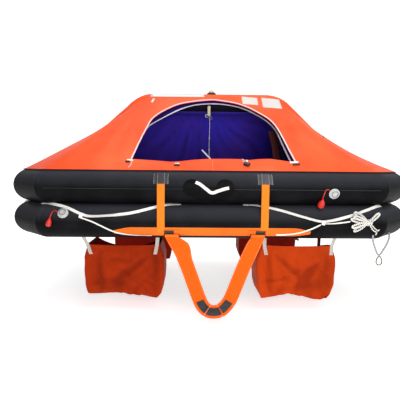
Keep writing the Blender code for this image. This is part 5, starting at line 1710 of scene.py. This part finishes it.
@dataclass
class Lamps:
    """The lamp on the ridge, and the one that hangs inside with its pull cord."""

    x: float = 0.024
    base_radius: float = 40 * MM
    base_height: float = 12 * MM
    dome: float = 26 * MM
    inner_radius: float = 14 * MM
    inner_top: float = 0.936
    inner_length: float = 86 * MM
    inner_y: float = -0.104
    knots: tuple[float, ...] = (0.667, 0.565)

    def build(self) -> None:
        """Build both lamps and the pull cord with its knots and its hook."""
        ridge = ArchLine.top_z + ArchLine.radius + Canopy.lift + Canopy.thick + 3 * GAP
        foot = Vector((self.x, 0, ridge))
        base = lathe("lamp_base_plastic", [(self.base_radius, 0), (self.base_radius, 3 * MM),
                                           (self.base_radius * 0.95, 5 * MM),
                                           (self.base_radius * 0.85, self.base_height - 1 * MM),
                                           (self.base_radius * 0.8, self.base_height)], foot, UP, NYLON_BLACK)
        ride(base, "lamp_base")
        profile = [(self.dome * cos(a), self.dome * sin(a)) for a in np.linspace(0, pi / 2 - 0.03, 14)]
        dome = lathe("ridge_lamp_lens", profile, foot + UP * (self.base_height + GAP), UP, LENS_YELLOW)
        ride(dome, "ridge_lamp")
        r, length = self.inner_radius, self.inner_length
        foot = Vector((0, self.inner_y, self.inner_top - length))
        body = lathe("cabin_lamp_tube", [(r * 0.5, 0), (r * 0.85, 2 * MM), (r, 6 * MM), (r, length * 0.55),
                                         (r * 0.88, length * 0.57), (r * 0.88, length * 0.62),
                                         (r, length * 0.64), (r, length - 4 * MM), (r * 0.7, length)],
                     foot, UP, LENS_YELLOW)
        clip = block("cabin_lamp_clip", Vector((0, self.inner_y / 2 - 30 * MM, self.inner_top - 12 * MM)),
                     (12 * MM, 50 * MM, 12 * MM), Matrix.Identity(3), 1.5 * MM, NYLON_BLACK)
        ride(body, "cabin_lamp")
        ride(clip)
        y, low = self.inner_y, self.inner_top - length - GAP
        points = smooth_route([(0, y, low), (0.008, y, 0.80), (0.006, y + 0.002, 0.70), (0.004, y, 0.58),
                               (0.006, y, 0.505)], 0.012)
        pull = tube("lamp_pull_cord_line", points, 2 * MM, ROPE_WHITE, 8)
        beads = [lathe(f"pull_knot_{k}", [(1 * MM, -7 * MM), (5 * MM, -4 * MM), (6 * MM, 0), (5 * MM, 4 * MM),
                                          (1 * MM, 7 * MM)], Vector((0.0055, y, z)), UP, ROPE_WHITE, 12)
                 for k, z in enumerate(self.knots)]
        knots = merged("pull_knots", beads)
        ride(pull, "lamp_pull_cord")
        ride(knots)
        turns = [(0.012 * cos(a) + x, y - 8 * MM, 0.012 * sin(a) + z)
                 for x, z, first, last in ((0.018, low - 14 * MM, 1.2, 6.2), (-0.018, low + 4 * MM, 0.4, 5.2))
                 for a in np.linspace(first, last, 12)]
        for name, k, finish in (("cabin_lamp_hook", 0, STEEL), ("cabin_lamp_loop", 12, ROPE_WHITE)):
            ride(tube(name, turns[k:k + 12], 2.2 * MM, finish, 8))


@dataclass
class Lifelines:
    """The flat webbing lines becketed round the tubes, and the lines from their tags on the front."""

    width: float = 19 * MM
    narrow: float = 10 * MM
    thick: float = 2.4 * MM
    rest: float = 0.8 * MM
    swag_drop: float = 85 * MM
    side_beckets: tuple = (-0.60, -0.20, 0.20, 0.60)
    rear_beckets: tuple = (-1.05, -0.525, 0.0, 0.525, 1.05)
    band_lift: float = 1.8 * MM
    spacing: float = 0.012
    tags: tuple = ((-0.865, 0.099), (0.732, 0.063))
    cleat: tuple = (0.580, -0.865, -0.062)
    # Stops of the lines on the front, (place, height, turn from flat in degrees): broad lifelines,
    # narrow lines over the band, and the strand to the hank
    lifelines: tuple = (
        ("lifeline_front_left", (
            (-0.215, GROOVE_Z, 0), (-0.295, 0.170, -12), (-0.367, 0.160, -40), (-0.520, 0.124, -35),
            (-0.610, 0.110, -10), (-0.673, 0.104, 25), (-0.803, 0.098, 28), (-0.868, 0.112, -10),
            (-0.958, 0.148, -38), (-1.040, 0.166, -35), (-1.100, GROOVE_Z, -10), (-1.150, GROOVE_Z, 0))),
        ("lifeline_front_right", (
            (0.209, GROOVE_Z, 0), (0.290, 0.170, 0), (0.345, 0.162, 8), (0.450, 0.142, 5),
            (0.590, 0.104, -20), (0.715, 0.074, -40), (0.800, 0.082, -30), (0.873, 0.098, 5),
            (0.930, 0.115, 34), (0.972, 0.128, 42), (1.050, 0.152, 44), (1.110, 0.168, 36),
            (1.148, GROOVE_Z, 15))))
    low_lines: tuple = (
        ("line_low_left", (
            (-0.878, 0.092, 45), (-0.800, 0.066, 25), (-0.739, 0.037, 10), (-0.642, -0.010, 0),
            (-0.544, -0.030, 10), (-0.440, -0.034, 40), (-0.405, -0.032, 60))),
        ("line_low_right", (
            (0.715, 0.052, 50), (0.643, 0.016, 20), (0.560, -0.012, 10), (0.470, -0.022, 30),
            (0.425, -0.022, 60))))
    to_hank: tuple = ((0.742, 0.058, 60), (0.800, 0.060, 40), (0.860, 0.066, 20), (0.912, 0.074, 40))

    def line(self, name: str, stops: tuple, width: float, lift: float = 0.0, way: str = "front",
             solid: bool = True) -> None:
        """One line that lies on the lower tube.

        Args:
            name: the line's name, which its CAD node has too.
            stops: (place along the tube, height, turn from flat in degrees).
            width: the webbing's width.
            lift: extra height over the tube.
            way: side of the raft, front, left, right or rear.
            solid: it replaces a CAD node.
        """
        out = {"front": (0, -1), "rear": (0, 1), "left": (-1, 0), "right": (1, 0)}[way]
        # The turn goes along as a third coordinate, so small that it adds no length
        small = 1000
        flat = smooth_route([(along, height, turn / small) for along, height, turn in stops], self.spacing)
        points, normals = [], []
        for along, height, turn in flat:
            on_edge = width / 2 * abs(sin(radians(turn * small)))
            radius = TUBE_RADIUS + self.rest + self.thick / 2 + lift + on_edge
            angle = asin(max(-1.0, min(1.0, (height - LOWER_Z) / radius)))
            reach = (RING_HALF_X if out[0] else RING_HALF_Y) + radius * cos(angle)
            points.append(Vector((out[0] * reach or along, out[1] * reach or along, height)))
            normals.append(Vector((out[0] * cos(angle), out[1] * cos(angle), sin(angle))))
        faces = [Matrix.Rotation(radians(spot.z * small), 3, head) @ normal
                 for spot, head, normal in zip(flat, headings(points), normals)]
        made = strap(f"{name}_web", points, faces, width, self.thick, WEB_WHITE)
        ride(made, *([name] if solid else []))

    def swags(self, beckets: tuple) -> list[tuple]:
        """Stops of a line that hangs in swags between its beckets and twists on its way."""
        route = [(a + (b - a) * share, GROOVE_Z - self.swag_drop * 4 * share * (1 - share),
                  30 + 30 * sin(9 * a))
                 for a, b in zip(beckets, beckets[1:]) for share in (0, 0.25, 0.5, 0.75)]
        return route + [(beckets[-1], GROOVE_Z, 30)]

    def build(self) -> None:
        """Build all the lines and the two tags."""
        for name, stops in self.lifelines:
            self.line(name, stops, self.width)
        for name, stops in self.low_lines:
            self.line(name, stops, self.narrow, self.band_lift)
        self.line("line_to_hank", self.to_hank, self.narrow, solid=False)
        for way in ("left", "right"):
            self.line(f"lifeline_side_{way}", self.swags(self.side_beckets), self.width, way=way)
        self.line("lifeline_rear", self.swags(self.rear_beckets), self.width, way="rear")
        pieces = []
        for index, (x, z) in enumerate(self.tags):
            angle = asin((z - LOWER_Z) / TUBE_RADIUS)
            turn = Matrix.Rotation(-angle, 3, "X") @ Matrix.Rotation(0.25, 3, "Y")
            pieces.append(block(f"line_tag_{index}", over_tube(x, LOWER_Z, angle, 9 * MM),
                                (24 * MM, 12 * MM, 28 * MM), turn, 4 * MM, WEB_WHITE))
        ride(merged("line_tags", pieces))
        ride(block("tube_cleat", Vector(self.cleat), (30 * MM, 22 * MM, 13 * MM),
                   Matrix.Rotation(0.3, 3, "Y"), 5 * MM, NYLON_BLACK))


@dataclass
class BallastPocket:
    """A water pocket: an open cloth bag that hangs on four straps, creased and sagging at its bottom."""

    node: str
    side: int
    end: int
    strap_dip: float = 0.0
    slack: float = 0.075
    x: float = 0.627
    front_y: float = 0.71
    rear_y: float = 0.42
    thick: float = 3 * MM
    top: float = -0.137
    bottom: float = -0.517
    halves: tuple = ((0.0, 0.263), (0.25, 0.290), (0.5, 0.291), (0.8, 0.287), (1.0, 0.268))
    corner: float = 0.022
    strap_width: float = 26 * MM
    strap_thick: float = 3 * MM
    strap_angle: float = radians(-67.5)
    sewn: float = 70 * MM
    columns: int = 200
    wall_rows: int = 60
    folds: tuple = ((2.6, 1.9, 0.3), (-2.2, 2.6, 1.1), (4.3, 1.1, 2.0), (-5.2, 3.9, 0.5))
    # Half width and height of the wall that the sharp creases are spread over
    crease_span: tuple[float, float] = (0.29, 0.38)

    def outline(self, half_x: float, half_y: float) -> list[Vector]:
        """Rounded rectangle, read at even steps."""
        points = []
        for quarter in range(4):
            sign_x = 1 if quarter in (0, 3) else -1
            sign_y = 1 if quarter < 2 else -1
            for angle in pi / 2 * (quarter + np.arange(7) / 6):
                points.append(Vector((sign_x * (half_x - self.corner) + self.corner * cos(angle),
                                      sign_y * (half_y - self.corner) + self.corner * sin(angle), 0)))
        return spread(points + points[:1], 0, self.columns + 1)[:-1]

    def crease(self, u: float, drop: float, seed: float, outer: float) -> float:
        """Depth of the folds at a spot of a face, from 0 to 1: soft ones all over, sharp ones outside."""
        warp = noise.noise(Vector((u * 1.3, drop * 1.6, seed)))
        total = 0.0
        for across, down, phase in self.folds:
            total += (1 - abs(sin(across * u + down * drop + phase + seed + 2.2 * warp))) ** 3
        total = 0.45 * min(total, 1.6) * (0.35 + 0.65 * drop)
        half, height = self.crease_span
        spot = Vector((u * half + 0.012 * warp, drop * height))
        for a, b, c, d, depth in POCKET_CREASES[self.side]:
            first, last = Vector((a * half, b * height)), Vector((c * half, d * height))
            share = min(max((spot - first).dot(last - first) / (last - first).length_squared, 0), 1)
            away = (spot - first.lerp(last, share)).length
            width = (0.010 + 0.022 * share) * (1.3 + warp)
            total += outer * depth * (1 - 0.75 * abs(2 * share - 1) ** 3) * exp(-(away / width) ** 2)
        return min(total, 1.3)

    def wall(self, drop: float, half_y: float, seed: float) -> list[tuple]:
        """Points round the bag at a share of its height, each with its fold's depth scaled as the weight of
        its painted shade.
        """
        half_x = float(np.interp(drop, *zip(*self.halves)))
        row = []
        for p in self.outline(half_x, half_y):
            u, v = p.x / half_x, p.y / half_y
            outer = (1 + v * self.end) / 2
            fold = self.crease(u, drop, seed + 2 * round(outer), outer ** 2) * (1 - min(abs(u), 1) ** 8)
            sideways = 7 * MM * noise.noise(Vector((0, drop * 3.2, seed + copysign(4, u)))) - 2 * MM
            front_dip = -9 * MM * (1 - u * u) * (1 - drop) ** 3
            rear_dip = -(self.strap_dip + self.slack * (1 - min(u * u, 1))) * (1 - drop) ** 2
            low = float(np.interp(u, *POCKET_LOW_EDGES[self.side])) - self.bottom
            ripple = (low * outer + 3 * MM * sin(u * 23 + seed)) * drop ** 4
            row.append((self.side * self.x + p.x + copysign(min(abs(u), 1) ** 8, u) * sideways,
                        self.end * (self.front_y + self.rear_y) / 2 + p.y
                        - copysign(17 * MM * fold, v) * min(abs(v), 1) ** 4,
                        self.top + (self.bottom - self.top) * drop + ripple
                        + front_dip + (rear_dip - front_dip) * (1 - outer) ** 1.3, 0.42 * fold))
        return row

    def build(self) -> None:
        """Build the bag, its hem and its straps."""
        half_y = (self.front_y - self.rear_y) / 2
        seed = 3.1 * self.side + 1.7 * self.end
        rows = [self.wall(drop, half_y, seed) for drop in np.linspace(0, 1, self.wall_rows)]
        middle = np.array([self.side * self.x, self.end * (self.front_y + self.rear_y) / 2])
        low = np.array(rows[-1])
        for share in (0.985, 0.95, 0.88, 0.75, 0.6, 0.45, 0.3, 0.15, 0.03):
            row = low.copy()
            row[:, :2] = middle + (low[:, :2] - middle) * share
            row[:, 2] = self.bottom + (low[:, 2] - self.bottom) * share - (1 - share ** 4) * 10 * MM
            rows.append([tuple(p) for p in row])
        grid = np.array(rows[::-1])
        # The front left pocket takes its own darker copy: painted shade
        # The rear pockets and each bag's inner side (second slot) take the dark copy: painted shade
        outer = POCKET_SHADED if self.end > 0 else POCKET_LEFT_SHADED if self.side < 0 else POCKET_CLOTH
        made = skin(f"{self.node}_bag", grid[:, :, :3], outer, wrap_columns=True, sharp=70)
        # Painted shade in the pocket's folds
        paint_fold_shade(made, grid[:, :, 3])
        made.data.materials.append(POCKET_SHADED.material())
        mesh = bmesh.new()
        mesh.from_mesh(made.data)
        mesh.verts.ensure_lookup_table()
        mesh.faces.new([mesh.verts[k] for k in range(self.columns)][::-1])
        bmesh.ops.recalc_face_normals(mesh, faces=mesh.faces)
        probe = max(mesh.faces, key=lambda f: f.calc_center_median().x)
        if probe.normal.x < 0:
            bmesh.ops.reverse_faces(mesh, faces=mesh.faces)
        mesh.to_mesh(made.data)
        mesh.free()
        thicken(made, self.thick, -1.0, 1)
        apply_modifiers(made)
        ride(made, self.node)
        ride(tube(f"{self.node}_hem", [Vector(p) for p in grid[-1, ::2, :3]], 3 * MM, outer, 8, closed=True))
        self.straps()

    def straps(self) -> None:
        """The four webbing straps that the bag hangs on: two pale ones outside, and two inside, dark with
        painted shade.
        """
        half = self.strap_thick / 2
        tube_y = RING_HALF_Y - TUBE_RADIUS * cos(self.strap_angle) - half
        tube_z = LOWER_Z + TUBE_RADIUS * sin(self.strap_angle) - GAP
        outer = self.front_y + half - 1 * MM
        inner = self.rear_y - half + 1 * MM
        underside = FloorMattress().top() - FloorMattress.thick
        # The inner straps take the dark webbing copy: painted shade inside the bag
        for name, top_y, face_y, top_z, dip, finish in (
                ("straps", tube_y, outer, tube_z, 0.0, WEB_GREY),
                ("inner_straps", inner, inner, underside - GAP, self.strap_dip, WEB_SHADED)):
            pieces = []
            for top_x, low_x in POCKET_STRAPS[self.side]:
                stops = [(top_x, top_y, top_z), ((top_x + low_x) / 2, face_y, self.top - 4 * MM - dip),
                         (low_x, face_y, self.top - self.sewn - dip)]
                points = spread([Vector((self.side * x, self.end * y, z)) for x, y, z in stops], 0.01)
                pieces.append(strap(f"{self.node}_{name}_{len(pieces)}", points, [-FORWARD] * len(points),
                                    self.strap_width, self.strap_thick, finish, [ACROSS] * len(points)))
            ride(merged(f"{self.node}_{name}", pieces))


@dataclass
class Painter:
    """The tied hank of painter line, the cord that hangs from it and the steel ring."""

    knot: tuple[float, float] = (1.030, 0.070)
    loops: tuple = ((0.936, 0.136, 0, 6.6), (0.912, 0.092, 1, 6.8), (0.916, 0.040, 2, 6.6),
                    (0.938, 0.010, 0, 6.2), (0.926, 0.112, 2, 5.6), (1.098, 0.130, 1, 6.4))
    tails: tuple = (((1.047, 0.060), (1.075, 0.030), (1.098, 0.014), (1.106, 0.022)),
                    ((1.040, 0.050), (1.062, 0.018), (1.085, 0.004), (1.080, -0.012)))
    radius: float = 6.2 * MM
    hang_start: tuple[float, float] = (1.080, -0.022)
    hang: tuple = ((1.090, -0.904, -0.065), (1.104, -0.900, -0.102), (1.124, -0.900, -0.152),
                   (1.137, -0.900, -0.1605), (1.150, -0.900, -0.150), (1.184, -0.900, -0.090),
                   (1.205, -0.892, -0.040), (1.214, -0.866, -0.012))
    wire: float = 4.2 * MM
    ring_half: tuple[float, float] = (0.019, 0.030)
    taper: float = 0.25

    def hank(self) -> None:
        """Flattened loops of cord that fan out from the knot that ties them."""
        front = -RING_HALF_Y - TUBE_FLAT - 1.2 * MM
        knot = Vector((self.knot[0], 0, self.knot[1]))
        pieces = []
        for index, (x, z, layer, radius) in enumerate(self.loops):
            tip = Vector((x, 0, z))
            way = (tip - knot).normalized()
            side = Vector((-way.z, 0, way.x)) * (1.15 * radius * MM)
            depth = Vector((0, front - radius * MM - layer * 9.5 * MM, 0))
            bow = Vector((0, 0, 0.004 * (-1) ** index))
            half, most = knot.lerp(tip, 0.45), knot.lerp(tip, 0.85)
            route = [knot + side * 0.3, half + side * 1.15 + bow, most + side * 1.2, tip, most - side * 1.1,
                     half - side + bow, knot - side * 0.3]
            pieces.append(tube(f"hank_loop_{index}", smooth_route([p + depth for p in route], 0.006),
                               radius * MM, ROPE_WHITE, 10))
        for index, tail in enumerate(self.tails):
            route = [(x, front - 7 * MM - 8 * MM * index, z) for x, z in tail]
            pieces.append(tube(f"hank_tail_{index}", smooth_route(route, 0.006), 4.2 * MM, ROPE_WHITE, 10))
        ride(merged("painter_hank_loops", pieces), "painter_hank")
        rings = []
        for turn in range(4):
            lean = 0.012 * (turn % 2) - 0.006
            ring = [Vector((self.knot[0] - 0.012 + 0.0085 * turn + lean * sin(a), front - 18 * MM
                            + 0.0165 * cos(a), self.knot[1] + 0.017 * sin(a)))
                    for a in full_turn(24)]
            rings.append(tube(f"hank_whipping_{turn}", ring, 4.8 * MM, ROPE_WHITE, 8, closed=True))
        ride(merged("hank_whipping", rings))

    def cord(self) -> None:
        """The grey cord that hangs in a V, and its ring."""
        x, z = self.hang_start
        flat = self.radius * cos(pi / 8)
        hang = [(x, -RING_HALF_Y - sqrt((TUBE_RADIUS + flat) ** 2 - (z - LOWER_Z) ** 2), z), *self.hang]
        points = smooth_route(hang, 0.010)
        made = tube("painter_cord_rope", points, self.radius, ROPE_GREY, 12)
        lowest = min(smooth_route(hang, 0.020), key=lambda p: p.z)
        drop = (self.radius + self.wire) * cos(pi / 8) + GAP
        middle = lowest - Vector((0, 0, drop + self.ring_half[1]))
        ring = [middle + Vector((self.ring_half[0] * (1 - self.taper * cos(a)) * sin(a), 0,
                                 self.ring_half[1] * cos(a))) for a in full_turn(48)]
        steel = tube("snap_hook_wire", ring, self.wire, STEEL, 14, closed=True)
        ride(made, "painter_cord")
        ride(steel, "snap_hook")

    def build(self) -> None:
        """Build the hank, the cord and the ring."""
        self.cord()
        self.hank()


@dataclass
class EntranceFittings:
    """What is tied to the sill and hangs just inside it: toggles, cords and strips."""

    canopy: Canopy
    # Toggles, one painted shadow, and the pale tabs on them: X, height, size, lean
    sill: tuple = (
        ("sill_toggles_and_shadow", NYLON_BLACK, (
            (-0.580, 0.449, (0.030, 0.012, 0.014), 0.1), (-0.243, 0.428, (0.040, 0.012, 0.012), -0.05),
            # The piece at X 0.574, under the right tab, is a painted shadow, not a toggle
            (0.234, 0.436, (0.044, 0.018, 0.034), 0.5), (0.574, 0.440, (0.050, 0.010, 0.014), -0.1))),
        ("sill_tabs", WEB_WHITE, (
            (-0.566, 0.458, (0.044, 0.012, 0.014), 0.1), (-0.243, 0.438, (0.034, 0.010, 0.008), -0.05),
            (0.234, 0.446, (0.014, 0.030, 0.012), 0.5), (0.562, 0.452, (0.060, 0.014, 0.016), -0.1))))
    cords: tuple = (
        ("zip_cord", ((-0.553, 0.452), (-0.553, 0.436), (-0.557, 0.421), (-0.567, 0.411))),
        ("toggle_loop", ((0.240, 0.440), (0.222, 0.462), (0.206, 0.474), (0.216, 0.452))))
    cord_radius: float = 2.6 * MM
    # The maroon strip is painted shade: the orange canopy's inside seen in shadow
    strips: tuple = (
        ("door_roll_strip", 56 * MM, MAROON_SHADE, ((0.500, -0.30, 0.716), (0.522, -0.34, 0.60),
                                                  (0.534, -0.38, 0.480))),
        # A painted shadow: a black strip along the maroon strip's right edge
        ("door_roll_shadow_strip", 14 * MM, NYLON_BLACK, ((0.528, -0.31, 0.716), (0.562, -0.35, 0.60),
                                                  (0.584, -0.39, 0.480))),
        ("cabin_tie", 11 * MM, WEB_WHITE, ((-0.060, -0.20, 0.563), (-0.020, -0.21, 0.522),
                                           (0.018, -0.22, 0.480))))

    def moulding(self, name: str, x: float, z: float, size: tuple, lean: float, finish: Finish) -> Object:
        """One small piece that lies on the canopy at a place seen from the front."""
        point, normal = self.canopy.hit(x, z, size[1] * 0.45)
        turn = normal.to_track_quat("-Y", "Z").to_matrix() @ Matrix.Rotation(lean, 3, "Y")
        return block(name, point, size, turn, min(size) * 0.42, finish)

    def build(self) -> None:
        """Build the fittings, each kind as one piece."""
        for name, finish, places in self.sill:
            pieces = [self.moulding(f"{name}_{k}", *place, finish) for k, place in enumerate(places)]
            ride(merged(name, pieces))
        for name, route in self.cords:
            points = smooth_route([self.canopy.hit(x, z, 3.5 * MM)[0] for x, z in route], 0.006)
            made = tube(name, points, self.cord_radius, ROPE_WHITE, 8)
            ride(made)
        for name, width, finish, route in self.strips:
            points = smooth_route(route, 0.01)
            ride(strap(name, points, [FORWARD] * len(points), width, 2.2 * MM, finish))


@dataclass
class PhotoCamera:
    """The camera that the photograph was fitted with."""

    place: tuple[float, float, float] = (-0.1395, -3.5252, 0.4442)
    yaw: float = radians(-1.178)
    pitch: float = radians(5.184)
    roll: float = radians(0.544)
    focal: float = 395.75
    sensor: float = 36.0

    def build(self) -> None:
        """Place the camera."""
        ahead = Vector((-cos(self.pitch) * sin(self.yaw), cos(self.pitch) * cos(self.yaw),
                        -sin(self.pitch)))
        right = Vector((cos(self.yaw), sin(self.yaw), 0))
        up = right.cross(ahead)
        across = cos(self.roll) * right + sin(self.roll) * up
        upward = -sin(self.roll) * right + cos(self.roll) * up
        data = bpy.data.cameras.new("photo_camera")
        data.sensor_width = self.sensor
        data.lens = self.focal / IMAGE_SIZE * self.sensor
        data.clip_start = 0.05
        camera = placed("photo_camera", data)
        axes = Matrix((across, upward, -ahead)).transposed()
        camera.matrix_world = Matrix.Translation(self.place) @ axes.to_4x4()
        bpy.context.scene.camera = camera


@dataclass
class Studio:
    """A pale floor that curves up into a backdrop, and soft lights."""

    floor_z: float = -0.64
    half: float = 14.0
    back: float = 9.0
    bend: float = 3.0
    glow: float = 0.62
    sky: float = 0.42

    def build(self) -> None:
        """Build the floor, the lights and the sky."""
        paint = bpy.data.materials.new("studio_paper")
        paint.use_nodes = True
        feed(paint.node_tree, paint.node_tree.nodes["Principled BSDF"],
             {"Base Color": linear("#f6f6f6"), "Roughness": 0.9, "Emission Color": (1, 1, 1, 1),
              "Emission Strength": self.glow})
        profile = [(-self.half, 0.0)] + [(self.back + self.bend * sin(a), self.bend * (1 - cos(a)))
                                         for a in np.linspace(0, pi / 2, 17)]
        profile.append((self.back + self.bend, self.bend + 7.0))
        verts = [(x, y, self.floor_z + z) for y, z in profile for x in (-self.half, self.half)]
        faces = [(2 * k, 2 * k + 1, 2 * k + 3, 2 * k + 2) for k in range(len(profile) - 1)]
        mesh = bpy.data.meshes.new("studio_paper")
        mesh.from_pydata(verts, [], faces)
        mesh.shade_smooth()
        mesh.materials.append(paint)
        placed("studio_paper", mesh)
        world = bpy.data.worlds.new("studio_sky")
        world.use_nodes = True
        tree = world.node_tree
        seen = add_node(tree, "ShaderNodeLightPath").outputs["Is Camera Ray"]
        feed(tree, tree.nodes["Background"], {0: (1, 1, 1, 1), 1: ranged(tree, seen, 0, 1, self.sky, 1.05)})
        bpy.context.scene.world = world
        bpy.context.scene.view_settings.view_transform = "Standard"
        self.area("key", (1.3, -3.0, 3.6), (0, -0.2, 0.3), 2.6, 62)
        self.area("front", (0.5, -4.4, 0.9), (0, 0, 0.45), 1.8, 70, 0.25)
        self.area("top", (0, 0.6, 4.2), (0, 0, 0), 3.4, 70)

    def area(self, name: str, place: tuple, aim: tuple, size: float, power: float,
             shine: float = 1.0) -> None:
        """Add one soft square light. Shine is its share in highlights."""
        data = bpy.data.lights.new(name, "AREA")
        data.specular_factor = shine
        data.size = size
        data.energy = power
        made = placed(name, data)
        made.location = place
        made.rotation_euler = (Vector(aim) - Vector(place)).to_track_quat("-Z", "Y").to_euler()


def main() -> None:
    """Load the frame and dress it, sub-assembly by sub-assembly."""
    logging.basicConfig(level=logging.INFO, format="%(name)s: %(message)s")
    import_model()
    PhotoCamera().build()
    Studio().build()
    Lifelines().build()
    Painter().build()
    Lamps().build()
    line = ArchLine()
    BuoyancyTube("lower_tube", LOWER_Z, seam_z=0.044).build()
    BuoyancyTube("upper_tube", UPPER_Z, seam_z=0.302).build()
    FloorMattress().build()
    Arch(line).build()
    canopy = Canopy(line)
    canopy.build()
    EntranceFittings(canopy).build()
    Liner(line).build()
    FrontWebbing().build()
    GrabHandle().build()
    StirrupBuckles().build()
    BoardingStirrup().build()
    Valves().build()
    for end_name, end in (("front", -1), ("rear", 1)):
        for side_name, side in SIDES:
            dip = 0.062 if (end, side) == (-1, 1) else 0.0
            BallastPocket(f"pocket_{end_name}_{side_name}", side, end, dip).build()


if __name__ == "__main__":
    main()
